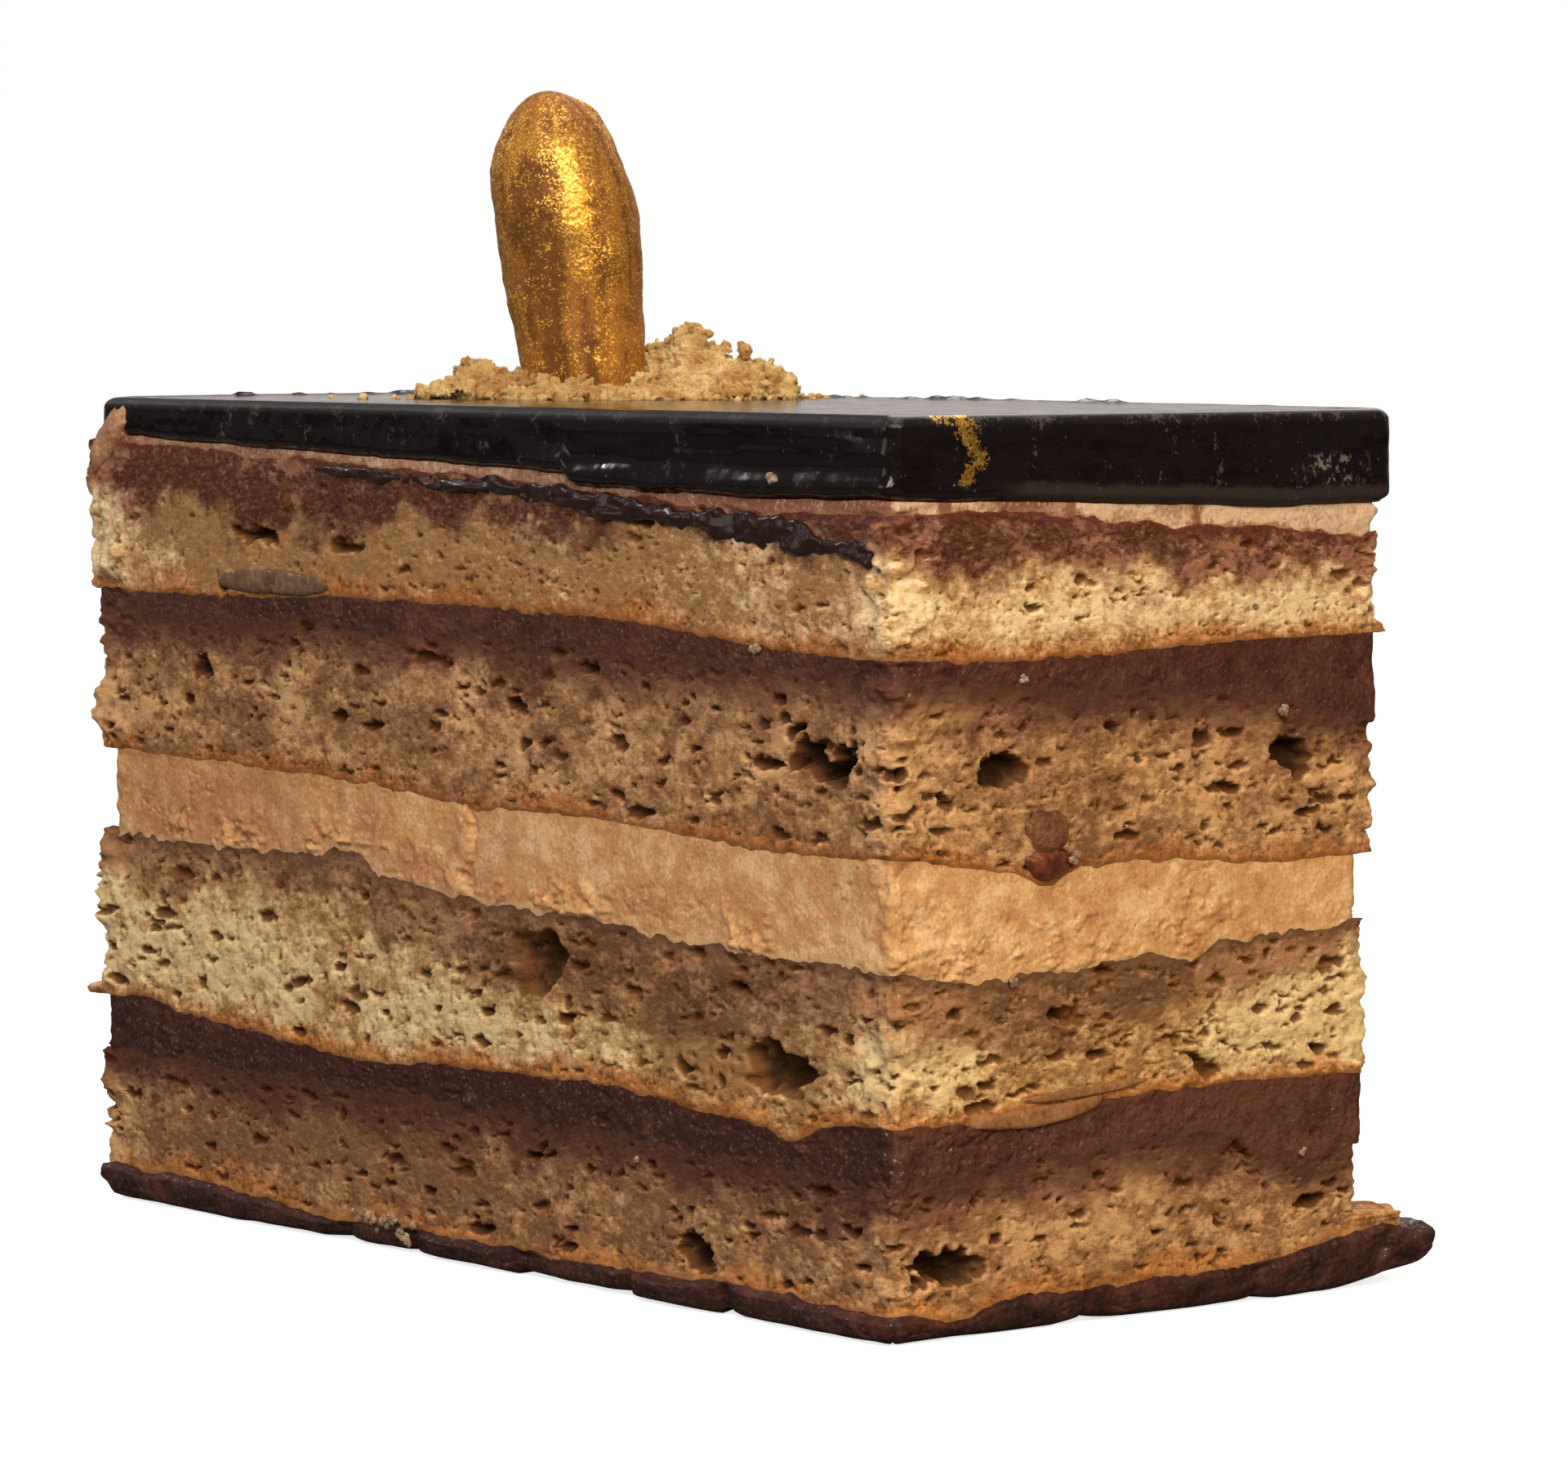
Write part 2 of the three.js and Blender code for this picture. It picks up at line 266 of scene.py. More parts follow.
@dataclass(frozen=True)
class Outline:
    """A rectangle with round corners, stepped finely on the two cut faces most looked at."""

    steps: tuple[int, int, int, int] = (560, 270, 230, 110)
    corner_steps: int = 11
    radius: float = 0.7

    @cached_property
    def columns(self) -> tuple[Array, Array, Array]:
        """Each column's corner, its share of the straight after it, and its normal."""
        corner, share, angle = [], [], []
        for side, count in enumerate(self.steps):
            start = -math.pi + side * math.pi / 2
            turn = np.linspace(0, math.pi / 2, self.corner_steps)
            straight = np.arange(1, count) / count
            corner.append(np.full(len(turn) + len(straight), side))
            share.append(np.concatenate([0 * turn, straight]))
            angle.append(start + np.concatenate([turn, 0 * straight + math.pi / 2]))
        angles = np.concatenate(angle)
        normal = np.stack([np.cos(angles), np.sin(angles)], -1)
        return np.concatenate(corner), np.concatenate(share), normal

    @property
    def normal(self) -> Array:
        """The outward normal of each column."""
        return self.columns[2]

    def place(self, out: Four, inset: float = 0.0) -> Array:
        """Where the columns stand.

        Column = corner centre, moved by its share towards the next centre, plus radius * normal.

        Args:
            out: how far the front, right, back and left stand proud of the slice.
            inset: how far all four are then moved inwards.

        Returns:
            One (x, y) row for each column.
        """
        front, right, back, left = (o - inset - self.radius for o in out)
        low = (-LENGTH / 2 - left, -WIDTH / 2 - front)
        high = (LENGTH / 2 + right, WIDTH / 2 + back)
        centres = np.array([low, (high[0], low[1]), high, (low[0], high[1])])
        corner, share, normal = self.columns
        here, after = centres[corner], centres[(corner + 1) % 4]
        return here + (after - here) * share[:, None] + self.radius * normal


def surface(
    name: str, points: Array, values: Values, caps: tuple[int, int] = (0, 0)
) -> bpy.types.Object:
    """A closed mesh from a stack of rings, with a fan over each end.

    Args:
        name: the piece's name.
        points: rings x columns x 3, in millimetres, from the lower end to the upper one.
        values: numbers for each ring and column, kept as the mesh's own attributes.
        caps: how many rows at the lower and upper end are flat shaded, which keeps rims crisp.

    Returns:
        The new object, at the origin.
    """
    rings, columns = points.shape[:2]
    ends = np.stack([points[0].mean(0), points[-1].mean(0)])
    verts = np.concatenate([points.reshape(-1, 3), ends])
    here = np.arange(columns)
    after = (here + 1) % columns
    row = np.arange(rings - 1)[:, None] * columns
    quads = np.stack([row + here, row + after, row + after + columns, row + here + columns], -1)
    low_end, high_end = rings * columns, rings * columns + 1
    top = (rings - 1) * columns
    fans = np.concatenate([
        np.stack([0 * here + low_end, after, here], -1),
        np.stack([0 * here + high_end, top + here, top + after], -1),
    ])
    mesh = mesh_of(name, verts, [quads.reshape(-1, 4), fans])
    smooth = np.ones(len(mesh.polygons), bool)
    smooth[:caps[0] * columns] = False
    smooth[(rings - 1 - caps[1]) * columns:(rings - 1) * columns] = False
    mesh.polygons.foreach_set("use_smooth", smooth)
    if any(caps):
        crease_rings(mesh, columns, (caps[0], rings - 1 - caps[1]))
    for key, value in values.items():
        ring_ends = [value[0].mean(), value[-1].mean()]
        keep_values(mesh, key, np.concatenate([value.reshape(-1), ring_ends]))
    return link(name, mesh)


def crease_rings(mesh: bpy.types.Mesh, columns: int, rims: tuple[int, int]) -> None:
    """Marks the edges that run along two rings as sharp, so that the side shades up to its rim."""
    ends = np.empty(len(mesh.edges) * 2, np.int32)
    mesh.edges.foreach_get("vertices", ends)
    ring = ends.reshape(-1, 2) // columns
    sharp = (ring[:, 0] == ring[:, 1]) & np.isin(ring[:, 0], rims)
    mesh.attributes.new("sharp_edge", "BOOLEAN", "EDGE").data.foreach_set("value", sharp)


def mesh_of(name: str, verts: Array, faces: Sequence[Array]) -> bpy.types.Mesh:
    """A smooth-shaded mesh.

    Args:
        name: the mesh's name.
        verts: one row of millimetres for each vertex.
        faces: arrays of vertex numbers, each array with faces of one size.

    Returns:
        The mesh, in metres.
    """
    mesh = bpy.data.meshes.new(name)
    corners = np.concatenate([f.reshape(-1) for f in faces])
    sizes = np.concatenate([np.full(len(f), f.shape[1]) for f in faces])
    mesh.vertices.add(len(verts))
    mesh.vertices.foreach_set("co", (verts * MM).astype(np.float32).reshape(-1))
    mesh.loops.add(len(corners))
    mesh.loops.foreach_set("vertex_index", corners.astype(np.int32))
    mesh.polygons.add(len(sizes))
    starts = np.concatenate([[0], np.cumsum(sizes)[:-1]])
    mesh.polygons.foreach_set("loop_start", starts.astype(np.int32))
    mesh.polygons.foreach_set("use_smooth", np.ones(len(sizes), bool))
    mesh.update(calc_edges=True)
    mesh.validate()
    return mesh


def keep_values(mesh: bpy.types.Mesh, key: str, values: Array) -> None:
    """Stores one number for each vertex as an attribute of the mesh."""
    attribute = mesh.attributes.new(key, "FLOAT", "POINT")
    attribute.data.foreach_set("value", np.asarray(values, np.float32))


def link(name: str, mesh: bpy.types.Mesh) -> bpy.types.Object:
    """A new object at the origin that shows the mesh."""
    piece = bpy.data.objects.new(name, mesh)
    bpy.context.scene.collection.objects.link(piece)
    return piece


# --- finishes ------------------------------------------------------------------------------


class Signal:
    """A number, colour or place that flows through a node tree; arithmetic adds Math nodes."""

    def __init__(self, graph: Graph, socket: bpy.types.NodeSocket) -> None:
        """Holds the socket that gives the signal, and the graph that it belongs to."""
        self.graph, self.socket = graph, socket

    def __add__(self, other: Feed) -> Signal:
        """The sum of the two."""
        return self.graph.math("ADD", self, other)

    def __sub__(self, other: Feed) -> Signal:
        """This less the other."""
        return self.graph.math("SUBTRACT", self, other)

    def __rsub__(self, other: Feed) -> Signal:
        """The other less this."""
        return self.graph.math("SUBTRACT", other, self)

    def __mul__(self, other: Feed) -> Signal:
        """The product of the two."""
        return self.graph.math("MULTIPLY", self, other)

    def __truediv__(self, other: Feed) -> Signal:
        """This divided by the other."""
        return self.graph.math("DIVIDE", self, other)

    def __rtruediv__(self, other: Feed) -> Signal:
        """The other divided by this."""
        return self.graph.math("DIVIDE", other, self)

    def __abs__(self) -> Signal:
        """Its size without its sign."""
        return self.graph.math("ABSOLUTE", self)

    def at_least(self, other: Feed) -> Signal:
        """The larger of the two."""
        return self.graph.math("MAXIMUM", self, other)

    def below(self, other: Feed) -> Signal:
        """1 where this is less than the other, else 0."""
        return self.graph.math("LESS_THAN", self, other)

    def span(self, low: float, high: float, start: Feed = 0.0, end: Feed = 1.0) -> Signal:
        """Smoothly maps low..high to start..end, and holds the ends outside."""
        feeds = {"Value": self, "From Min": low, "From Max": high, "To Min": start, "To Max": end}
        return self.graph.add("MapRange", feeds, interpolation_type="SMOOTHSTEP")["Result"]

    def under(self, share: Feed, colour: Feed) -> Signal:
        """This colour with a share of another one over it."""
        return self.graph.blend(share, self, colour)

    def parts(self) -> tuple[Signal, ...]:
        """A colour's red, green and blue."""
        return tuple(self.graph.add("SeparateColor", {"Color": self}).values())

    def axes(self) -> tuple[Signal, ...]:
        """A place's x, y and z."""
        return tuple(self.graph.add("SeparateXYZ", {"Vector": self}).values())


Feed = Signal | float | Sequence[float]


class Graph:
    """A node tree that is built a step at a time; graph[name] = value feeds its named ends."""

    def __init__(self, tree: bpy.types.NodeTree, ends: bpy.types.NodeInputs) -> None:
        """Takes the tree to add to, and the inputs that the finished values go to."""
        self.tree, self.ends = tree, ends

    def __setitem__(self, key: str, value: Feed) -> None:
        """Feeds one of the graph's ends."""
        self.feed(self.ends[key], value)

    def feed(self, socket: bpy.types.NodeSocket, value: Feed) -> None:
        """Links a signal into a socket, or sets the socket's plain value.

        Args:
            socket: the input to feed.
            value: a signal, a number, or a colour or place.
        """
        if isinstance(value, Signal):
            self.tree.links.new(value.socket, socket)
        elif socket.type == "RGBA":
            socket.default_value = (*value, 1.0)
        else:
            socket.default_value = value

    def add(self, kind: str, feeds: dict[str | int, Feed], **settings: object) -> dict[str, Signal]:
        """Adds a node.

        Args:
            kind: the node's type, without its ShaderNode.
            feeds: what goes into each input, by the input's name or number.
            settings: the node's own settings.

        Returns:
            The node's outputs by their names.
        """
        node = self.tree.nodes.new("ShaderNode" + kind)
        for key, value in settings.items():
            setattr(node, key, value)
        for key, value in feeds.items():
            self.feed(node.inputs[key], value)
        return {socket.name: Signal(self, socket) for socket in node.outputs if socket.enabled}

    def place(self, scale: Sequence[float] = (1, 1, 1)) -> Signal:
        """Object coordinates in millimetres, stretched by `scale`."""
        feeds = {"Vector": self.add("TexCoord", {})["Object"], "Scale": tuple(s / MM for s in scale)}
        return self.add("Mapping", feeds)["Vector"]

    def value(self, key: str) -> Signal:
        """A number that the mesh keeps for each vertex."""
        return self.add("Attribute", {}, attribute_name=key)["Fac"]

    def noise(self, where: Signal, size: Feed, detail: float = 4, rough: float = 0.55) -> Signal:
        """Noise from 0 to 1 whose lumps are `size` across, in the unit of `where`."""
        feeds = {"Vector": where, "Scale": 1 / size, "Detail": detail, "Roughness": rough}
        return self.add("TexNoise", feeds)["Fac"]

    def cells(self, where: Signal, size: Feed) -> tuple[Signal, Signal]:
        """The distance from the middles of cells `size` across, and each cell's own colour."""
        found = self.add("TexVoronoi", {"Vector": where, "Scale": 1 / size})
        return found["Distance"], found["Color"]

    def math(self, operation: str, first: Feed, second: Feed = 0.0) -> Signal:
        """One arithmetic step."""
        return self.add("Math", {0: first, 1: second}, operation=operation)["Value"]

    def blend(self, share: Feed, first: Feed, second: Feed) -> Signal:
        """Mixes two colours; at share 0 the first shows."""
        return self.add("Mix", {0: share, 6: first, 7: second}, data_type="RGBA")["Result"]

    def bump(self, height: Feed, depth: float) -> Signal:
        """A bump `depth` millimetres deep."""
        return self.add("Bump", {"Height": height, "Distance": depth * MM, "Strength": 1.0})["Normal"]

    def effect(self, kind: Effect, **feeds: Feed) -> dict[str, Signal]:
        """Places a shared effect, which is built on first use."""
        tree = bpy.data.node_groups.get(kind.value) or EFFECT_MAKERS[kind]()
        return self.add("Group", feeds, node_tree=tree)


class Look(Graph):
    """A material with one Principled shader, whose inputs are the graph's ends."""

    def __init__(self, name: str, **settings: Feed) -> None:
        """Makes the material.

        Args:
            name: the material's name.
            settings: the shader's inputs, with _ for a space, and their uniform values.
        """
        self.material = bpy.data.materials.new(name)
        self.material.use_nodes = True
        tree = self.material.node_tree
        super().__init__(tree, next(n for n in tree.nodes if n.type == "BSDF_PRINCIPLED").inputs)
        for key, value in settings.items():
            self[key.replace("_", " ")] = value


class Effect(Enum):
    """The shared effects, each a shader node group that is built once."""

    CRUMB = "open_crumb"
    MOTTLE = "mottle"
    GOLD = "gold_dust"
    SPECKS = "specks"


def new_group(
    kind: Effect, takes: dict[str, float], gives: Sequence[str]
) -> tuple[Graph, dict[str, Signal]]:
    """An empty node group with its sockets.

    Args:
        kind: the effect, which names the group.
        takes: the group's number inputs with their default values.
        gives: the names of its outputs, all numbers but for Colour.

    Returns:
        The graph, whose ends are the group's outputs, and the group's inputs.
    """
    tree = bpy.data.node_groups.new(kind.value, "ShaderNodeTree")
    for key, value in takes.items():
        socket = tree.interface.new_socket(key, in_out="INPUT", socket_type="NodeSocketFloat")
        socket.default_value = value
    for key in gives:
        sort = "NodeSocketColor" if key == "Colour" else "NodeSocketFloat"
        tree.interface.new_socket(key, in_out="OUTPUT", socket_type=sort)
    graph = Graph(tree, tree.nodes.new("NodeGroupOutput").inputs)
    inputs = tree.nodes.new("NodeGroupInput").outputs
    return graph, {key: Signal(graph, inputs[key]) for key in takes}


def make_crumb() -> bpy.types.NodeTree:
    """Fine baked crumb: grains, soft lumps of two sizes, and the crevices between them.

    A lump is a warped cell, wider than high; a crevice is where a cell's middle is far, kept
    where a coarser noise is high. Each grain is a cell with a brightness of its own.

    Returns:
        The node group.
    """
    graph, takes = new_group(Effect.CRUMB, {"Pits": 0.5}, ("Tone", "Grain", "Pit", "Height"))
    where = graph.place((1, 1, 1.5))
    warp = graph.add("TexNoise", {"Vector": where, "Scale": 2.2, "Detail": 2.0})["Color"]
    bend = graph.add("VectorMath", {0: warp, 1: (0.8, 0.8, 0.5)}, operation="MULTIPLY")["Vector"]
    bent = graph.add("VectorMath", {0: graph.place((1, 1, 1.8)), 1: bend}, operation="ADD")["Vector"]
    fine, broad = graph.noise(where, 0.5, 3, 0.6), graph.noise(where, 1.5, 3, 0.62)
    distance, colour = graph.cells(bent, 0.36)
    soft = distance + (fine - 0.5) * 0.6
    graph["Tone"] = fine * 0.4 + broad * 0.6
    graph["Grain"] = colour.parts()[0]
    # Pit: the crevices, which the sponge darkens as painted shade.
    graph["Pit"] = soft.span(0.45, 0.75) * broad.span(0.53, 0.42) * takes["Pits"]
    graph["Height"] = fine * 1.5 + soft.span(0.8, 0.05) * 0.6
    return graph.tree


def make_mottle() -> bpy.types.NodeTree:
    """Soft blotches over a finer grain, for creams, chocolate and the nut.

    Returns:
        The node group.
    """
    graph, takes = new_group(Effect.MOTTLE, {"Blotch": 3.0, "Grain": 0.3}, ("Tone", "Height"))
    blotch, grain = (graph.noise(graph.place(), size, 4, 0.5) for size in takes.values())
    graph["Tone"] = blotch * 0.6 + grain * 0.4
    graph["Height"] = grain
    return graph.tree


def make_gold() -> bpy.types.NodeTree:
    """Lustre dust: fine flakes of gold, thick where `Amount` is high, each tilted its own way.

    Returns:
        The node group.
    """
    graph, takes = new_group(
        Effect.GOLD, {"Amount": 0.5, "Flake": 0.12}, ("Mask", "Colour", "Height")
    )
    where = graph.place()
    chance, shade, tilt = graph.cells(where, takes["Flake"])[1].parts()
    level = chance * 0.55 + graph.noise(where, 0.9, 6, 0.72)
    graph["Mask"] = (level - (1.35 - takes["Amount"])).span(-0.1, 0.1)
    graph["Colour"] = graph.blend(shade, srgb(168, 100, 30), srgb(250, 200, 92))
    graph["Height"] = tilt
    return graph.tree


def make_specks() -> bpy.types.NodeTree:
    """Scattered dots: the middles of those cells whose own random number is low enough.

    Returns:
        The node group.
    """
    takes = {"Spacing": 2.0, "Radius": 0.1, "Share": 0.3}
    graph, takes = new_group(Effect.SPECKS, takes, ("Mask",))
    distance, colour = graph.cells(graph.place(), takes["Spacing"])
    near = distance.below(takes["Radius"] * (1 / takes["Spacing"]))
    graph["Mask"] = near * colour.parts()[0].below(takes["Share"])
    return graph.tree


EFFECT_MAKERS = {
    Effect.CRUMB: make_crumb,
    Effect.MOTTLE: make_mottle,
    Effect.GOLD: make_gold,
    Effect.SPECKS: make_specks,
}


def scaled(colour: Colour, *shares: float) -> Colour:
    """A colour with each channel times its share; one share serves all three."""
    return tuple(min(c * k, 1.0) for c, k in zip(colour, shares * (3 // len(shares))))


@dataclass(frozen=True)
class SpongeFinish:
    """Baked almond sponge: soaked from above, browned below, with painted shade inside its pores.

    The mesh keeps `rise` and `fall` (mm above its lower cut and below its upper one), `wet` (mm
    inside the soaked zone, below 0 outside), `pit` (mm deep in a pore, which sets the painted
    shade there) and `tone` (-1 to 1).
    """

    name: str
    shade: Colour
    body: Colour
    light: Colour
    soaked_dark: Colour
    soaked: Colour
    stain: Colour
    crust: Colour
    crust_high: float = 0.75
    soft: float = 1.7
    stain_high: float = 3.0
    burnt: float = 0.7

    def material(self) -> bpy.types.Material:
        """Body tone, then the soaked zone, the stain and the crust, with painted shade in the pores,
        tears and crevices over it.

        Returns:
            The material.
        """
        look = Look(
            self.name, Subsurface_Weight=0.65, Subsurface_Scale=0.0011,
            Subsurface_Radius=(1.0, 0.55, 0.28),
        )
        crumb = look.effect(Effect.CRUMB, Pits=0.9)
        grain, pit, where = crumb["Grain"], look.value("pit"), look.place()
        tone = crumb["Tone"] + look.value("tone") * 0.17
        body = look.blend(tone.span(0.39, 0.5), self.shade, self.body)
        body = body.under(tone.span(0.5, 0.6), self.light)
        soaked = look.blend(tone.span(0.4, 0.58), self.soaked_dark, self.soaked)
        rough = look.noise(where, 1.3, 4, 0.66) - 0.5
        ragged = look.noise(where, 0.55, 3, 0.7) - 0.5
        wet = (look.value("wet") + rough * 4.5).span(-self.soft, self.soft * 0.6)
        body = body.under(wet, soaked)
        pale = look.blend(wet * 0.8, self.light, self.soaked)
        body = body.under(grain.span(0.62, 1.0, 0.0, 0.18), pale)
        dim = look.blend(wet, self.shade, self.soaked_dark)
        body = body.under(grain.span(0.38, 0.0, 0.0, 0.2), dim)
        gaps = look.noise(look.place((1, 1, 1.2)), 0.85, 4, 0.7)
        body = body.under(gaps.span(0.46, 0.37, 0.0, 0.4), scaled(self.shade, 0.6, 0.52, 0.4))
        fall = look.value("fall") + rough * 3.0
        body = body.under(fall.span(self.stain_high, self.stain_high * -0.1, 0.0, 0.96), self.stain)
        body = self.baked(look, body, crumb, ragged)
        # Painted shade: pores and deep tears are darkened by their depth, and the crumb's crevices too.
        pore = pit.span(0.05, 0.36, 0.0, 0.9)
        body = body.under(pore, scaled(self.shade, 0.5, 0.38, 0.24))
        body = body.under(pit.span(0.5, 1.4, 0.0, 0.92), scaled(self.shade, 0.17, 0.14, 0.08))
        look["Base Color"] = body.under(crumb["Pit"] * 0.36, scaled(self.shade, 0.6, 0.48, 0.26))
        spark = grain.span(0.78, 0.94) * pore.span(0.6, 0.1)
        look["Specular IOR Level"] = spark.span(0, 1, 0.12, wet.span(0, 1, 0.3, 0.5))
        look["Roughness"] = spark.span(0, 1, 0.85, wet.span(0, 1, 0.5, 0.24))
        look["Normal"] = look.bump(crumb["Height"], 0.035)
        return look.material

    def baked(self, look: Look, body: Signal, crumb: dict[str, Signal], ragged: Signal) -> Signal:
        """Blends in the browned crust: grains of burnt, orange and golden crumb.

        Args:
            look: the sponge's material.
            body: the colour so far.
            crumb: the outputs of the crumb effect.
            ragged: a noise about 0 that frays the crust's edge.

        Returns:
            The colour with its crust.
        """
        crust = look.blend(
            (crumb["Tone"] + ragged * 0.6).span(0.36, 0.5), scaled(self.crust, 0.34), self.crust
        )
        crust = crust.under(crumb["Grain"].span(0.6, 0.95, 0.0, 0.5), scaled(self.crust, 1.5))
        rise, patches = look.value("rise"), look.noise(look.place(), 7.0, 2) - 0.5
        reach = rise + ragged * 4.2 + patches * 4.4
        body = body.under(reach.span(self.crust_high * 2.4, self.crust_high * 0.2, 0.0, 0.8), crust)
        line = (rise + ragged * 1.3).span(0.5, 0.1, 0.0, self.burnt)
        return body.under(line, scaled(self.crust, 0.6))


@dataclass(frozen=True)
class CreamFinish:
    """Buttercream or ganache: soft blotches, a fine grain, and crumb dragged into its foot.

    The mesh keeps `rise` (mm above the lower cut), `pit`, which sets painted shade in cracks,
    chips and crevices, and `tone`.
    """

    name: str
    shade: Colour
    body: Colour
    light: Colour
    drag: Colour
    roughness: float = 0.5
    grain: float = 0.25
    relief: float = 0.07
    gleam: float = 0.25
    glow: float = 0.1
    drag_high: float = 0.5

    def material(self) -> bpy.types.Material:
        """Two-step tone, dragged crumb below, painted shade in the hollows, and a bump of the same grain.

        Returns:
            The material.
        """
        look = Look(
            self.name, Subsurface_Weight=self.glow, Subsurface_Scale=0.0005,
            Subsurface_Radius=(1.0, 0.55, 0.3),
        )
        mottle = look.effect(Effect.MOTTLE, Blotch=1.6, Grain=self.grain)
        grit = look.cells(look.place(), 0.2)[1].parts()[0]
        tone = mottle["Tone"] + look.value("tone") * 0.15
        body = look.blend(tone.span(0.36, 0.5), self.shade, self.body)
        body = body.under(tone.span(0.5, 0.66), self.light)
        body = body.under(grit.span(0.8, 1.0, 0.0, 0.45), self.light)
        body = body.under(grit.span(0.2, 0.0, 0.0, 0.35), self.shade)
        rise = look.value("rise") + (look.noise(look.place(), 1.0, 6, 0.65) - 0.5) * 2.4
        body = body.under(rise.span(self.drag_high, 0.0, 0.0, 0.8), self.drag)
        # Painted shade: cracks, chips and crevices are darkened by their pit depth.
        hollow = look.value("pit").span(0.05, 0.5, 0.0, 0.75)
        look["Base Color"] = body.under(hollow, scaled(self.shade, 0.4))
        spark = grit.span(0.8, 0.92)
        look["Roughness"] = spark.span(0, 1, self.roughness + 0.1, 0.26)
        look["Specular IOR Level"] = spark.span(0, 1, self.gleam, 0.6)
        look["Normal"] = look.bump(mottle["Height"] + grit * 0.4, self.relief)
        return look.material


@dataclass(frozen=True)
class GlazeFinish:
    """Dark poured glaze: glossy, frosted along its upper edge, with dust and a gold streak.

    The mesh keeps `fall`, the millimetres below the top, and `rise`, those above its foot.
    """

    name: str = "dark_glaze"
    body: Colour = srgb(18, 8, 8)
    matt: Colour = srgb(40, 28, 24)
    dust: Colour = srgb(118, 104, 96)

    def material(self) -> bpy.types.Material:
        """Gloss under frost, dust and gold, each by its own mask.

        Returns:
            The material.
        """
        look = Look(self.name, Specular_IOR_Level=0.34)
        where, fall = look.place(), look.value("fall")
        x, y, _ = where.axes()
        cloud = look.noise(where, 1.6, 6, 0.66)
        fine = look.noise(look.place((1, 1, 0.7)), 0.3, 5, 0.8)
        side = fall.span(0.02, 0.3)
        edge = fall.span(1.3, 0.1, 0.0, 0.15) * side
        chips = (fine + edge + (cloud - 0.5) * 1.1).span(0.68, 0.77) * side
        band = (look.value("rise") + cloud).span(1.9, 1.45)
        band = band * x.span(41.9, 42.6) * y.span(-13.5, -9.0)
        specks = look.effect(Effect.SPECKS, Spacing=0.9, Radius=0.07, Share=0.16)["Mask"]
        scuff = self.scuffs(look, where) * look.noise(where, 0.55, 4, 0.7).span(0.5, 0.54)
        gold = look.effect(Effect.GOLD, Amount=self.streak(look, where), Flake=0.13)
        body = look.blend(band * fine.span(0.3, 0.7, 0.6, 1.0), self.body, self.matt)
        for dusty in (chips * 0.3, specks * (side * 0.4), scuff * 0.8):
            body = body.under(dusty, self.dust)
        look["Base Color"] = body.under(gold["Mask"], gold["Colour"])
        look["Metallic"] = gold["Mask"] * 0.85
        brow = fall.span(0.03, 0.16) * fall.span(1.0, 0.5)
        rough = (chips * 0.5).at_least(band * 0.6).at_least(cloud.span(0.35, 0.7, 0.09, 0.2))
        look["Roughness"] = rough.at_least(brow * 0.42).at_least(scuff * 0.8)
        height = look.noise(where, 0.7, 3) + chips * 0.6 + specks * 0.8 + gold["Mask"] * 0.5
        look["Normal"] = look.bump(height, 0.018)
        return look.material

    @staticmethod
    def streak(look: Look, where: Signal) -> Signal:
        """How much gold lies at a place: a bowed smear down the right end, thin flecks above.

        The smear's middle is y = -14.6 + 1.1 exp(-((z - 52.5) / 0.9)^2).

        Args:
            look: the glaze's material.
            where: the place, in millimetres.

        Returns:
            The amount, from 0 to 1.
        """
        x, y, z = where.axes()
        up = (z - 52.5) / 0.9
        middle = y + 14.6 - look.math("EXPONENT", up * up * -1.0) * 1.1
        stray = (look.noise(where, 0.7, 5, 0.7) - 0.5) * 2.4
        near = abs(middle + stray).span(1.25, 0.0)
        top = z.span(54.1, 54.5) * abs(y + 15.7).span(2.1, 1.0, 0.0, 0.62)
        end = x.span(42.0, 42.4) * z.span(50.5, 50.9)
        return near.at_least(top) * (end * 0.9)

    @staticmethod
    def scuffs(look: Look, where: Signal) -> Signal:
        """Where the right end is scuffed chalky: low down and near the back.

        Args:
            look: the glaze's material.
            where: the place, in millimetres.

        Returns:
            How scuffed it is, from 0 to 1.
        """
        _, y, z = where.axes()
        patch = abs(y - 15.3).span(3.6, 1.0) * abs(z - 51.3).span(1.3, 0.4)
        return patch * look.noise(where, 0.9, 3).span(0.46, 0.58)


@dataclass(frozen=True)
class NutFinish:
    """A brown kernel under gold lustre dust, thinner in its furrows, where painted shade darkens the skin.

    The mesh keeps `tone`, how thick the dust lies, raised in a painted highlight, and `pit`,
    how deep a furrow is, deepened by a painted shade stripe.
    """

    name: str = "gilded_kernel"
    skin: Colour = srgb(160, 99, 44)
    furrow: Colour = srgb(94, 54, 26)
    veil: Colour = srgb(186, 122, 42)

    def material(self) -> bpy.types.Material:
        """Skin tone under gold, darker in the furrows as painted shade; the dust also gilds the skin
        between its flakes.

        Returns:
            The material.
        """
        look = Look(self.name, Specular_IOR_Level=0.15)
        mottle = look.effect(Effect.MOTTLE, Blotch=2.0, Grain=0.3)
        pit = look.value("pit")
        # Painted shade: the skin turns to the furrow colour where pit is deep.
        skin = look.blend((mottle["Tone"] + pit * -0.5).span(0.3, 0.58), self.furrow, self.skin)
        amount = (look.value("tone") - pit * 0.5).at_least(0.36)
        gold = look.effect(Effect.GOLD, Amount=amount, Flake=0.11)
        cover = gold["Mask"].at_least(amount.span(0.4, 1.0, 0.1, 0.5))
        tint = look.blend(gold["Mask"], self.veil, gold["Colour"])
        look["Base Color"] = skin.under(cover, tint)
        look["Metallic"] = cover * 0.58
        look["Roughness"] = gold["Mask"].span(0, 1, 0.55, 0.33)
        look["Normal"] = look.bump(mottle["Height"] + gold["Height"] * 0.9, 0.07)
        return look.material


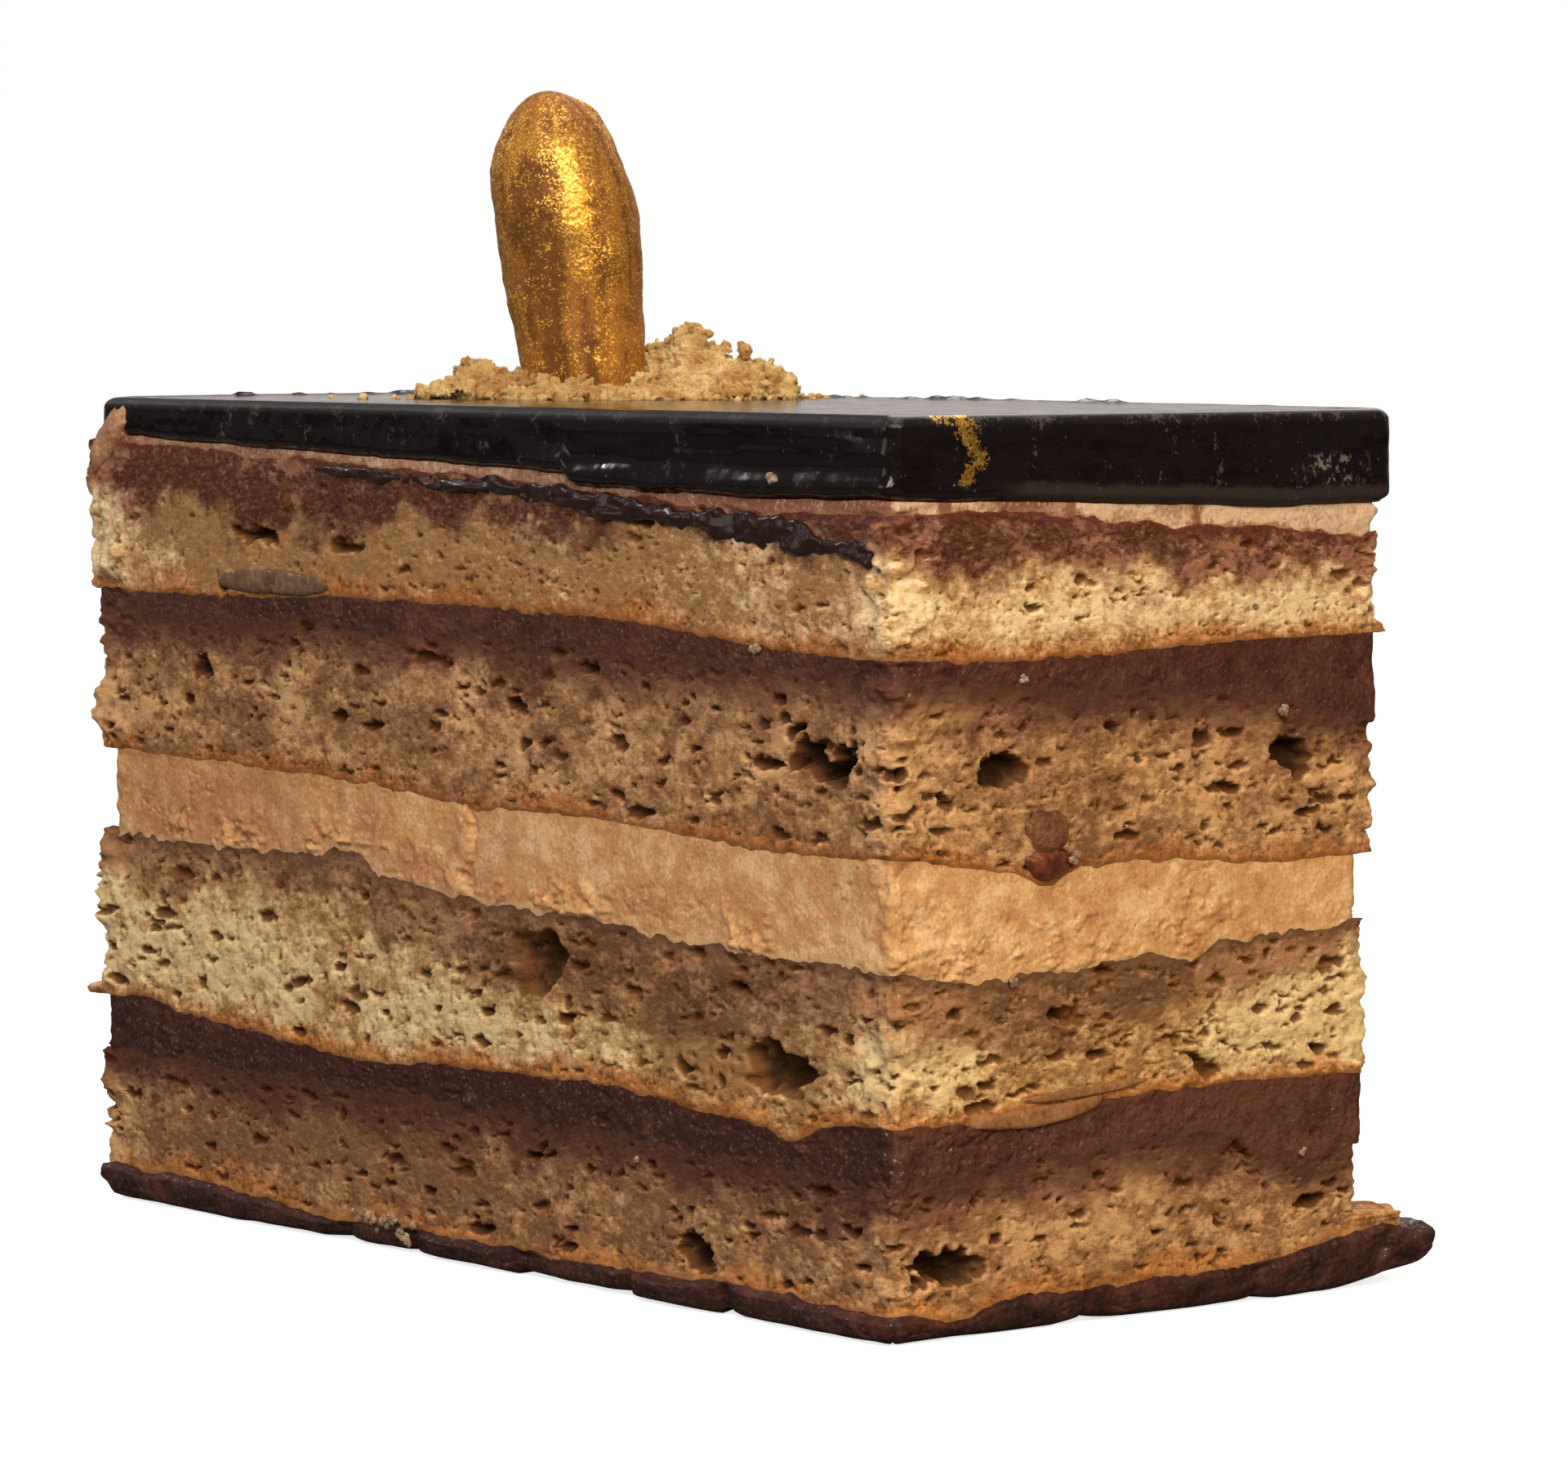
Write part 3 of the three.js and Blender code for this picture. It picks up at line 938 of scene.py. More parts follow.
@dataclass(frozen=True)
class CrumbleFinish:
    """Dry baked crumble, toasted here and pale there by its `tone`."""

    name: str = "baked_crumble"
    toasted: Colour = srgb(155, 112, 64)
    body: Colour = srgb(179, 141, 89)
    pale: Colour = srgb(203, 173, 124)

    def material(self) -> bpy.types.Material:
        """Three tones over a fine sugary grain.

        Returns:
            The material.
        """
        look = Look(
            self.name, Specular_IOR_Level=0.15, Subsurface_Weight=0.6,
            Subsurface_Scale=0.0011, Subsurface_Radius=(1.0, 0.6, 0.3), Roughness=0.9,
        )
        mottle = look.effect(Effect.MOTTLE, Blotch=1.1, Grain=0.12)
        tone = mottle["Tone"] + look.value("tone") * 0.2
        body = look.blend(tone.span(0.36, 0.54), self.toasted, self.body)
        look["Base Color"] = body.under(tone.span(0.54, 0.7), self.pale)
        look["Normal"] = look.bump(mottle["Height"], 0.07)
        return look.material


@dataclass(frozen=True)
class SyrupFinish:
    """Dark wet syrup and melted chocolate."""

    name: str = "wet_syrup"
    body: Colour = srgb(50, 22, 16)

    def material(self) -> bpy.types.Material:
        """Near-black gloss with a lumpy skin.

        Returns:
            The material.
        """
        look = Look(self.name, Specular_IOR_Level=0.35)
        mottle = look.effect(Effect.MOTTLE, Blotch=1.2, Grain=0.3)
        look["Base Color"] = look.blend(mottle["Tone"], scaled(self.body, 0.3), self.body)
        look["Roughness"] = mottle["Tone"].span(0.42, 0.6, 0.1, 0.28)
        look["Normal"] = look.bump(mottle["Height"], 0.03)
        return look.material


@dataclass(frozen=True)
class CaramelFinish:
    """A burnt sugar drop: dark amber, slightly clear and glossy."""

    name: str = "burnt_caramel"
    body: Colour = srgb(112, 54, 24)

    def material(self) -> bpy.types.Material:
        """Amber with darker blotches under a wet skin.

        Returns:
            The material.
        """
        look = Look(
            self.name, Specular_IOR_Level=0.45, Subsurface_Weight=0.12,
            Subsurface_Scale=0.0004, Subsurface_Radius=(1.0, 0.4, 0.15),
        )
        mottle = look.effect(Effect.MOTTLE, Blotch=1.5, Grain=0.4)
        shade = mottle["Tone"].span(0.36, 0.62)
        look["Base Color"] = look.blend(shade, scaled(self.body, 0.3), self.body)
        look["Roughness"] = mottle["Tone"].span(0.3, 0.7, 0.2, 0.5)
        look["Normal"] = look.bump(mottle["Height"], 0.1)
        return look.material


# --- layers --------------------------------------------------------------------------------


@dataclass(frozen=True)
class Pores:
    """One size class of pores."""

    per_cm2: float
    small: float
    large: float
    depth: float
    stretch: float = 1.5


@dataclass(frozen=True)
class Tear:
    """One large torn hole in a face."""

    face: Face
    at: float
    up: float
    wide: float
    high: float
    deep: float
    lean: float = 0.0


@dataclass(frozen=True)
class Blotch:
    """A soft patch of a face that is paler (or, below 0, darker) than the rest."""

    face: Face
    at: float
    up: float
    wide: float
    high: float
    strength: float

    def on(self, side: SideGrid) -> Array:
        """strength * exp(-(distance along / wide)^2 - (distance up / high)^2) on its face."""
        along = (self.face.along(side.x, side.y) - self.at) / self.wide
        up = (side.z - self.up) / self.high
        return self.strength * bell(along, up) * self.face.faces(side.normal)


@dataclass(frozen=True)
class Crease:
    """An upright knife mark in a face."""

    face: Face
    at: float
    wide: float
    deep: float

    def dip(self, side: SideGrid, sway: Array) -> Array:
        """deep * exp(-(distance along / wide)^2) on its face, swaying with a noise."""
        away = (self.face.along(side.x, side.y) - self.at + sway) / self.wide
        return self.deep * bell(away) * self.face.faces(side.normal)


@dataclass(frozen=True)
class Spur:
    """A ledge or flake: the points inside a box are drawn out sideways."""

    low: tuple[float, float, float]
    high: tuple[float, float, float]
    way: tuple[float, float]
    soft: float = 0.5

    def shift(self, side: SideGrid, ragged: Array) -> Array:
        """How far each point moves: `way` inside the box, fading over `soft` at its faces."""
        inside = 1.0
        for place, low, high in zip((side.x, side.y, side.rise), self.low, self.high):
            inside = inside * smoothstep(low, low + self.soft, place)
            inside = inside * smoothstep(high, high - self.soft, place)
        return (inside * (1 + 0.16 * ragged))[..., None] * np.array(self.way)


@dataclass
class SideGrid:
    """The side of a layer before relief: rows climb from the lower cut to the upper one."""

    outline: Outline
    out: Four
    low: Cut
    high: Cut
    rows: int

    def __post_init__(self) -> None:
        """Works out every point, and the length round the outline to each column."""
        plan = self.outline.place(self.out)
        self.x = np.broadcast_to(plan[:, 0], (self.rows, len(plan)))
        self.y = np.broadcast_to(plan[:, 1], (self.rows, len(plan)))
        self.bottom = self.low.height(plan[:, 0], plan[:, 1])
        self.top = self.high.height(plan[:, 0], plan[:, 1])
        self.share = np.linspace(0, 1, self.rows)[:, None]
        self.z = self.bottom + (self.top - self.bottom) * self.share
        steps = np.linalg.norm(np.diff(plan, axis=0), axis=1)
        self.round = np.broadcast_to(np.concatenate([[0], np.cumsum(steps)]), self.z.shape)
        self.normal = self.outline.normal

    @property
    def rise(self) -> Array:
        """Millimetres above the lower cut."""
        return self.z - self.bottom

    @property
    def fall(self) -> Array:
        """Millimetres below the upper cut."""
        return self.top - self.z

    @property
    def edges(self) -> Array:
        """1 on the upright corners of the slice, fading over 3 mm."""
        return bell(np.hypot(np.abs(self.x) - LENGTH / 2, np.abs(self.y) - WIDTH / 2) / 3)

    def along(self, front: Sequence[float], right: Sequence[float]) -> Array:
        """A value that varies round the slice, by the same rule as a cut's height."""
        return Cut(tuple(front), tuple(right), waver=0).height(self.x[:1], self.y[:1])


CAP_INSETS = (0.5, 1.3, 3.2, 9.0)
WOBBLE = 0.22
WOBBLE_SEED = 4


@dataclass
class Layer:
    """One layer: a closed surface between two cuts.

    Point = column's place + normal * move, at a height that is shared out between the cuts.
    """

    node: str
    slot: str
    low: Cut
    high: Cut
    out: Four
    seed: int
    rows: int = 30
    outline: Outline = field(default_factory=Outline)
    grain: float = 0.03
    blotches: tuple[Blotch, ...] = ()
    spurs: tuple[Spur, ...] = ()
    flat_rows: tuple[int, int] = (len(CAP_INSETS), len(CAP_INSETS))
    colours: SpongeFinish | CreamFinish | GlazeFinish = GlazeFinish()

    def grid(self) -> SideGrid:
        """The side before relief."""
        return SideGrid(self.outline, self.out, self.low, self.high, self.rows)

    def relief(self, side: SideGrid) -> tuple[Array, Values]:
        """How far each point moves outwards, and the values that the finish reads."""
        noise = Lattice(self.seed)
        move = self.grain * noise.fractal(side.x, side.y, side.z, 0.6, 2)
        tone = 0.6 * noise.fractal(side.x + 40, side.y, side.z * 1.6, 5.0, 3)
        tone = tone + sum(b.on(side) for b in self.blotches)
        values = {"pit": np.zeros(side.z.shape), "tone": tone, "rise": side.rise, "fall": side.fall}
        return move, values

    @property
    def low_out(self) -> Four:
        """How far the four sides stand proud at the lower cut."""
        return self.out

    def cap(self, cut: Cut, rim: Array, out: Four) -> Array:
        """Rings that carry the rim inwards over a cut.

        Args:
            cut: the cut.
            rim: how far each column's relief stands out at the rim.
            out: how far the four sides stand proud there.

        Returns:
            The rings' points, from the outermost to the innermost.
        """
        rings = []
        for inset in CAP_INSETS:
            plan = self.outline.place(out, inset)
            fade = np.exp(-inset / (1.5 + 1.2 * np.clip(-rim, 0, None)))
            plan = plan + self.outline.normal * (rim * fade)[:, None]
            rings.append(np.column_stack([plan, cut.height(plan[:, 0], plan[:, 1])]))
        return np.stack(rings)

    def points(self) -> tuple[Array, Values]:
        """Lower cap, side and upper cap as one stack of rings, with the finish's values."""
        side = self.grid()
        move, values = self.relief(side)
        move = move * (0.1 + 0.9 * smoothstep(0.0, 0.4, side.fall) * smoothstep(0.0, 0.3, side.rise))
        move = move + WOBBLE * Lattice(WOBBLE_SEED).fractal(side.x, side.y, side.z, 9.0, 2)
        ragged = Lattice(self.seed + 3).fractal(side.x, side.y, 0 * side.z, 2.2, 3)
        shift = sum((s.shift(side, ragged) for s in self.spurs), np.zeros((*side.z.shape, 2)))
        body = np.stack([
            side.x + side.normal[:, 0] * move + shift[..., 0],
            side.y + side.normal[:, 1] * move + shift[..., 1],
            self.settle(side),
        ], -1)
        under = self.cap(self.low, move[0], self.low_out)[::-1]
        over = self.cap(self.high, move[-1], self.out)
        fade = np.exp(-np.array(CAP_INSETS[::-1]) / 2)[:, None]
        under[..., 2] += (body[0, :, 2] - side.bottom) * fade
        caps = len(CAP_INSETS)
        spread = {
            key: np.concatenate([value[:1].repeat(caps, 0), value, value[-1:].repeat(caps, 0)])
            for key, value in values.items()
        }
        return np.concatenate([under, body, over]), spread

    def settle(self, side: SideGrid) -> Array:
        """The height of each side point; a layer may bend it."""
        return side.z

    def build(self) -> bpy.types.Object:
        """Makes the piece, dresses it and lets it stand for its solid."""
        points, values = self.points()
        piece = surface(self.node + "_dressed", points, values, self.flat_rows)
        return dress(piece, self.colours.material(), self.node)


def dress(
    piece: bpy.types.Object, material: bpy.types.Material, node: str | None = None
) -> bpy.types.Object:
    """Gives a piece its material and slot, and lets it ride on the slice.

    Args:
        piece: the piece.
        material: its finish.
        node: the solid that it stands for, or None for a small extra.

    Returns:
        The piece.
    """
    piece.data.materials.append(material)
    if node:
        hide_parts(node)
    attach(piece, "root")
    LOG.info("%s: %d faces", piece.name, len(piece.data.polygons))
    return piece


@dataclass
class Sponge(Layer):
    """A sponge sheet: torn crumb with pores in three sizes and a few large tears."""

    soak_front: tuple[float, ...] = (2.0, 2.0)
    soak_right: tuple[float, ...] = (2.0, 2.0)
    tears: tuple[Tear, ...] = ()
    rows: int = 73
    torn: float = 0.04
    pores: tuple[Pores, ...] = each(
        Pores, (120, 0.09, 0.17, 2.2, 1.7), (36, 0.14, 0.25, 2.4, 2.8), (10.5, 0.22, 0.46, 2.4, 2.7)
    )
    lump: float = 0.9

    def relief(self, side: SideGrid) -> tuple[Array, Values]:
        """Slow wobble, torn lumps and frayed corners, less the pores and tears."""
        noise = Lattice(self.seed)
        move, values = super().relief(side)
        lumps = noise.fractal(side.x + 5, side.y, side.z * 1.25, self.lump, 3)
        folds = np.abs(noise.fractal(side.x + 15, side.y, side.z * 1.7, 1.3, 3))
        fray = side.edges * (
            noise.fractal(side.x + 9, side.y, side.z, 1.5, 3)
            + 0.6 * np.clip(noise.fractal(side.x, side.y + 9, side.z * 1.4, 0.7, 2), 0, 1)
        )
        holes = self.holes(side, noise)
        rough = self.torn * (1.2 * lumps + 2.4 * np.minimum(folds, 0.4) - 0.5)
        move = move + rough + 0.6 * fray - holes
        soak = side.along(self.soak_front, self.soak_right)
        spread = 1.3 * noise.fractal(side.x + 70, side.y, side.z * 1.5, 4.0, 3)
        values["wet"] = soak - side.fall + spread
        # Painted highlight: the tone rises on the upright corners, so the crumb there comes out paler.
        values["tone"] = values["tone"] + 0.9 * side.edges
        values["pit"] = holes
        return move, values

    def holes(self, side: SideGrid, noise: Lattice) -> Array:
        """Depth of the pores and tears.

        A pore is depth * (1 - d^2)^0.7 of the warped distance d from its middle, deeper under
        its upper lip; a tear follows the same rule. Where two meet, the deeper one counts.

        Args:
            side: the sponge's side.
            noise: the sponge's own noise.

        Returns:
            One depth for each point.
        """
        warp = [0.2 * noise.fractal(side.x + 3 * k, side.y + 50, side.z, 0.6, 3) for k in (1, 2)]
        torn = [0.35 * noise.fractal(side.x, side.y + 60 * k, side.z, 1.7, 4) for k in (1, 2)]
        across, up = side.round + 1.4 * warp[0], side.z + warp[1]
        deep = np.zeros(side.z.shape)
        random = np.random.default_rng(self.seed)
        area = side.round[0, -1] * float(np.mean(side.top - side.bottom)) / 100
        crowd = Lattice(self.seed + 9)
        for kind in self.pores:
            draws = random.random((int(kind.per_cm2 * area), 5))
            thick = crowd.at(draws[:, 0] * side.round[0, -1], draws[:, 1] * 12, 0 * draws[:, 0], 3.0)
            for draw in draws[thick + draws[:, 4] > 0.1]:
                self.stamp(side, across, up, deep, kind, tuple(draw))
        for tear in self.tears:
            place = tear.face.along(side.x, side.y) + 1.9 * warp[0] + 3.0 * torn[0] - tear.at
            place = place / tear.wide
            level = (side.z + 1.2 * warp[1] + 2.4 * torn[1] - tear.up) / tear.high
            bowl = np.clip(1 - place**2 - level**2, 0, 1) ** 0.7
            bowl = bowl * (1.1 + 1.2 * torn[0] + 0.5 * warp[0])
            bowl = bowl * np.clip(1 - abs(tear.lean) + tear.lean * place, 0, 1.5)
            np.maximum(deep, tear.deep * bowl * tear.face.faces(side.normal), out=deep)
        rim = smoothstep(-0.1, 0.5, side.fall) * smoothstep(0.05, 0.75, side.rise)
        return deep * rim

    @staticmethod
    def stamp(
        side: SideGrid, across: Array, up: Array, deep: Array, kind: Pores, draw: tuple
    ) -> None:
        """Sinks one pore into the part of the grid round it.

        Args:
            side: the side that the pore is in.
            across: warped place round the slice.
            up: warped height.
            deep: the depths so far, changed in place.
            kind: the pore's size class.
            draw: five numbers from 0 to 1: place round, place up, size, stretch and depth.
        """
        at, share, size, lean, hollow = draw
        middle = at * side.round[0, -1]
        radius = kind.small + (kind.large - kind.small) * size**1.6
        wide = radius * (1.1 + (kind.stretch - 1) * 1.6 * lean)
        column = np.searchsorted(side.round[0], [middle - wide - 0.5, middle, middle + wide + 0.5])
        low, high = column[0], column[2]
        here = min(column[1], side.z.shape[1] - 1)
        tall = side.top[here] - side.bottom[here]
        centre = side.bottom[here] + share * tall
        span = (radius + 0.5) / tall
        first = max(int((share - span) * side.rows), 0)
        last = min(int((share + span) * side.rows) + 2, side.rows)
        part = (slice(first, last), slice(low, high))
        level = (up[part] - centre) / radius
        away = ((across[part] - middle) / wide) ** 2 + level**2
        depth = kind.depth * radius * (0.5 + 0.7 * hollow) * (1 + 0.5 * level)
        np.maximum(deep[part], depth * np.clip(1 - away, 0, 1) ** 0.7, out=deep[part])


@dataclass
class Cream(Layer):
    """A spread layer, cut with a knife: drag lines, chips, cracks and small pits."""

    drag: float = 0.02
    chips: float = 0.1
    cracks: float = 0.15
    chip_size: float = 1.2
    fringe: float = 0.0
    loose: float = 0.0
    crumbled: tuple[Blotch, ...] = ()
    creases: tuple[Crease, ...] = ()
    knob: float = 1.2
    comb: float = 0.0

    def relief(self, side: SideGrid) -> tuple[Array, Values]:
        """Wobble, drag lines along the cut, chips at the rims, and cracks.

        A crack runs where a noise is near 0, cracks * exp(-(noise / 0.05)^2) deep, in patches.
        """
        noise = Lattice(self.seed)
        move, values = super().relief(side)
        lines = noise.fractal(side.x * 0.22, side.y * 0.22, side.z * 2.2, 1.0, 3)
        chips = noise.fractal(side.x + 31, side.y, side.z, self.chip_size, 4)
        path = noise.fractal(side.x, side.y + 31, side.z * 1.5, 2.2, 4)
        patch = smoothstep(0.1, 0.5, noise.fractal(side.x + 13, side.y, side.z, 4.0, 2))
        crack = self.cracks * bell(path / 0.05) * patch
        frayed = noise.fractal(side.x + 55, side.y, 0 * side.z, 3.0, 2)
        frayed = bell(side.rise / 2) * smoothstep(-0.5, 0.5, frayed)
        knobs = np.abs(noise.fractal(side.x + 77, side.y, side.z * 1.5, self.knob, 4))
        combed = noise.fractal(side.x * 2.2, side.y * 2.2, side.z * 0.25, 1.0, 3)
        loose = np.clip(frayed + self.loose + sum(b.on(side) for b in self.crumbled), 0, 1.4)
        gaps = noise.fractal(side.x, side.y, side.z + 60, 1.8, 3)
        loose = loose * (0.25 + 0.75 * smoothstep(-0.1, 0.5, gaps))
        crevice = loose * bell(knobs / 0.05) * smoothstep(0.0, 0.3, patch + 0.4 * loose)
        move = move + self.drag * lines + self.comb * combed + self.chips * chips * 0.5 - crack
        move = move + self.fringe * loose * (3.0 * knobs - 0.5)
        for crease in self.creases:
            move = move - crease.dip(side, path)
        move = move + 0.35 * side.edges * noise.fractal(side.x, side.y, side.z + 9, 1.6, 3)
        chipped = self.chips * np.clip(-chips - 0.5, 0, 1)
        # pit holds the cracks, chips and crevices that the finish darkens as painted shade.
        values["pit"] = crack * 1.6 + chipped + 2.2 * self.fringe * crevice
        return move, values


@dataclass
class Foot(Cream):
    """The chocolate foot: a thin slab in flat lobes, whose rim curls up off its underside."""

    undercut: Four = (0.6, 0.7, 1.8, 2.8)
    plates: tuple[tuple, ...] = (
        (FRONT, -45, -14.6, 0.7), (FRONT, -13.4, -6.4, 0.45), (FRONT, -6, 5.7, 0.8),
        (FRONT, 5.9, 17.4, 0.35), (FRONT, 17.6, 26.5, 1), (FRONT, 27.2, 45, 0.75),
        (RIGHT, -22, -5, 0.6), (RIGHT, -4.6, 9, 0.45), (RIGHT, 9.4, 26, 0.65),
    )
    lift: float = 1.0
    rows: int = 26

    def relief(self, side: SideGrid) -> tuple[Array, Values]:
        """The cream's relief and the plates."""
        move, values = super().relief(side)
        noise = Lattice(self.seed + 1)
        lobes = 0.4 * noise.fractal(side.x, side.y, 0 * side.z, 6.0, 3)
        sheets = noise.fractal(side.x * 0.25, side.y * 0.25, side.z * 1.3, 1.0, 3)
        move = move + 0.5 * lobes * (0.3 + 0.7 * side.share) + 0.04 * sheets + self.plate(side) - 0.25
        # The gaps between the sheets get painted shade through pit as well.
        values["pit"] = values["pit"] + 0.2 * np.clip(-sheets - 0.25, 0, 1)
        return move, values

    @property
    def low_out(self) -> Four:
        """The underside's sides, drawn in by the undercut."""
        return tuple(out - deep for out, deep in zip(self.out, self.undercut))

    def grid(self) -> SideGrid:
        """The side, rounded in towards the underside by a quarter of an ellipse."""
        side = super().grid()
        low = self.outline.place(self.low_out)
        bend = 1 - np.sqrt(1 - (1 - side.share) ** 2)
        side.x = side.x + (low[:, 0] - side.x) * bend
        side.y = side.y + (low[:, 1] - side.y) * bend
        return side

    def plate(self, side: SideGrid) -> Array:
        """How far the flat plates stand out, each out * (1 - t^4)^0.5 of its own length t."""
        move = np.zeros(side.z.shape)
        for face, start, end, out in self.plates:
            share = (face.along(side.x, side.y) - (start + end) / 2) / (end - start) * 2
            bulge = out * np.sqrt(np.clip(1 - share**4, 0, 1)) * face.faces(side.normal)
            move = np.maximum(move, bulge)
        return move

    def settle(self, side: SideGrid) -> Array:
        """Lifts the underside's rim towards the back right, where the slab stands free."""
        far = smoothstep(15.0, 24.5, side.y) * smoothstep(-30.0, 30.0, side.x)
        ripple = 0.5 + 0.5 * Lattice(self.seed + 2).fractal(side.x, side.y, 0 * side.z, 4.0, 2)
        drop = 0.55 * smoothstep(20.0, 24.5, side.y)
        gap = np.clip(0.5 - self.plate(side), 0, 0.5)
        lift = (self.lift * far + 0.14 * ripple**2 + 0.7 * gap) * (1 - side.share) ** 1.2
        return np.maximum(side.z + lift - drop * side.share, 0)


@dataclass
class Glaze(Layer):
    """The poured glaze: a lip that bulges over the cream, and a rounded frosted upper edge.

    Rows climb the side, turn over a quarter circle and run in over the top.
    """

    flat_rows: tuple[int, int] = (len(CAP_INSETS), 0)
    edge: float = 0.75
    bulge: float = 0.28
    side_rows: int = 40
    edge_rows: int = 12
    top_insets: tuple[float, ...] = (
        1.2, 1.5, 1.8, 2.1, 2.5, 3.2, 4.0, 5.0, 6.2, 7.6, 9.0, 10.5, 12.0, 14.0, 16.0, 18.0,
    )
    outline: Outline = field(default_factory=lambda: Outline((430, 210, 260, 130), 15, 1.0))

    def points(self) -> tuple[Array, Values]:
        """Lower cap, lip, side, round edge and top as one stack of rings."""
        noise = Lattice(self.seed)
        plan = self.outline.place(self.out)
        bottom = self.low.height(plan[:, 0], plan[:, 1])
        turn = np.linspace(0, math.pi / 2, self.edge_rows)
        share = np.linspace(0, 1, self.side_rows)
        climb = bottom + (HEIGHT - self.edge - bottom) * share[:, None]
        over = HEIGHT - self.edge + self.edge * np.sin(turn)[1:, None] + 0 * bottom
        moves = [self.side_move(plan, climb, bottom, noise)]
        rim = moves[0][-1]
        moves.append(rim - self.edge * (1 - np.cos(turn))[1:, None])
        heights = [climb, over]
        for inset in self.top_insets:
            moves.append((rim * math.exp(-inset) - inset)[None])
            flat = self.outline.place(self.out, inset)
            heights.append((HEIGHT + self.top_wave(flat, inset, noise))[None])
        move, height = np.concatenate(moves), np.concatenate(heights)
        rings = np.stack([self.shrunk(move[k], height[k]) for k in range(len(move))])
        under = self.cap(self.low, rim * 0 - 0.2, self.out)[::-1]
        stack = np.concatenate([under, rings])
        return stack, {"fall": HEIGHT - stack[..., 2], "rise": stack[..., 2] - bottom}

    def top_wave(self, flat: Array, inset: float, noise: Lattice) -> Array:
        """The top's height above level: a slow wave, and a lumpy ridge near the two far sides.

        Args:
            flat: where the ring's points stand.
            inset: how far inside the rim the ring lies.
            noise: the glaze's own noise.

        Returns:
            One height for each point.
        """
        x, y = flat[:, 0], flat[:, 1]
        slow = noise.fractal(x, y, 0 * x, 8.0, 2)
        lumpy = np.clip(noise.fractal(x, y, 0 * x + 7, 1.3, 3), 0, 1)
        lumpy = lumpy * smoothstep(0.0, 0.7, noise.at(x + 5, y, 0 * x, 7.0) + 0.3)
        far = np.maximum(smoothstep(15.0, 18.0, y), 1.6 * smoothstep(-38.5, -41.0, x))
        ridge = math.exp(-(((inset - 1.6) / 0.7) ** 2))
        return 0.03 * slow + far * ridge * (0.06 + 0.3 * lumpy)

    def shrunk(self, move: Array, height: Array) -> Array:
        """One ring moved in or out with its corners kept round."""
        inset = float(np.clip(-np.mean(move), 0, None))
        plan = self.outline.place(self.out, inset)
        plan = plan + self.outline.normal * (move + inset)[:, None]
        return np.column_stack([plan, height])

    def side_move(
        self, plan: Array, z: Array, bottom: Array, noise: Lattice
    ) -> Array:
        """The side's relief: the lip's bulge, sagging grooves along it, and slow waves.

        Args:
            plan: where the columns stand.
            z: the height of each point.
            bottom: the height of the glaze's foot at each column.
            noise: the glaze's own noise.

        Returns:
            How far each point moves outwards.
        """
        rise = z - bottom
        x, y = plan[:, 0], plan[:, 1]
        front = smoothstep(-0.6, -0.95, self.outline.normal[:, 1])
        heavy = smoothstep(4.0, 13.0, x) * front
        lip = self.bulge * heavy * bell((rise - 0.75) / 0.55)
        hollow = -0.14 * heavy * bell((rise - 1.9) / 0.5)
        tuck = -0.45 * bell(rise / 0.25)
        waves = 0.1 * noise.fractal(x, y, z * 0.4, 6.0, 2)
        dents = (0.03 - 0.02 * heavy) * noise.fractal(x, y, z * 0.6, 1.6, 3)
        grooves = 0.1 * noise.fractal(x * 0.14, y * 0.14, z * 1.1, 1.0, 2) * (0.1 + 0.9 * heavy)
        return lip + hollow + tuck + waves + dents + grooves


# --- the topping ---------------------------------------------------------------------------

HEAP_TURN = math.radians(51.5)
NUT_FOOT = (-17.0, 2.2)


def heap_point(along: Array, across: Array, z: Array) -> Array:
    """A point of the topping, from its places along and across the heap and its height."""
    cos, sin = math.cos(HEAP_TURN), math.sin(HEAP_TURN)
    x = NUT_FOOT[0] + along * cos - across * sin
    y = NUT_FOOT[1] + along * sin + across * cos
    return np.stack(np.broadcast_arrays(x, y, z), -1)


def scattered_lumps(
    centres: Array, radius: Array, random: np.random.Generator, rough: float = 0.22
) -> tuple[Array, Array]:
    """Turned, squashed and roughened copies of one ball.

    Args:
        centres: the middle of each lump.
        radius: the radius of each lump.
        random: the source of random numbers.
        rough: how far each vertex may move, in radii.

    Returns:
        The vertices and the triangles.
    """
    ball, faces = lump_ball()
    count = len(centres)
    axes = np.linalg.qr(random.normal(size=(count, 3, 3)))[0]
    squash = random.uniform(0.7, 1.2, (count, 1, 3))
    swell = 1 + rough * random.uniform(-1, 1, (count, len(ball), 1))
    shape = (ball[None] * swell * squash) @ axes * radius[:, None, None]
    index = faces[None] + (np.arange(count) * len(ball))[:, None, None]
    return (centres[:, None] + shape).reshape(-1, 3), index.reshape(-1, 3)


def lump_ball() -> tuple[Array, Array]:
    """A ball of 42 points and 80 triangles: an icosahedron with each edge halved."""
    ball = bmesh.new()
    bmesh.ops.create_icosphere(ball, subdivisions=2, radius=1.0)
    verts = np.array([v.co[:] for v in ball.verts])
    faces = np.array([[v.index for v in f.verts] for f in ball.faces])
    ball.free()
    return verts, faces


def fuse(piece: bpy.types.Object, voxel: float, rounds: int) -> None:
    """Melts a piece's overlapping parts into one skin and smooths it.

    Args:
        piece: the piece, whose mesh is replaced.
        voxel: side of the voxels, in millimetres.
        rounds: how often each vertex then moves halfway to its neighbours' middle.
    """
    remesh = piece.modifiers.new("fuse", "REMESH")
    remesh.mode = "VOXEL"
    remesh.voxel_size = voxel * MM
    remesh.use_smooth_shade = True
    soften = piece.modifiers.new("soften", "SMOOTH")
    soften.factor = 0.5
    soften.iterations = rounds
    shown = piece.evaluated_get(bpy.context.evaluated_depsgraph_get())
    mesh = bpy.data.meshes.new_from_object(shown)
    piece.modifiers.clear()
    old, piece.data = piece.data, mesh
    bpy.data.meshes.remove(old)


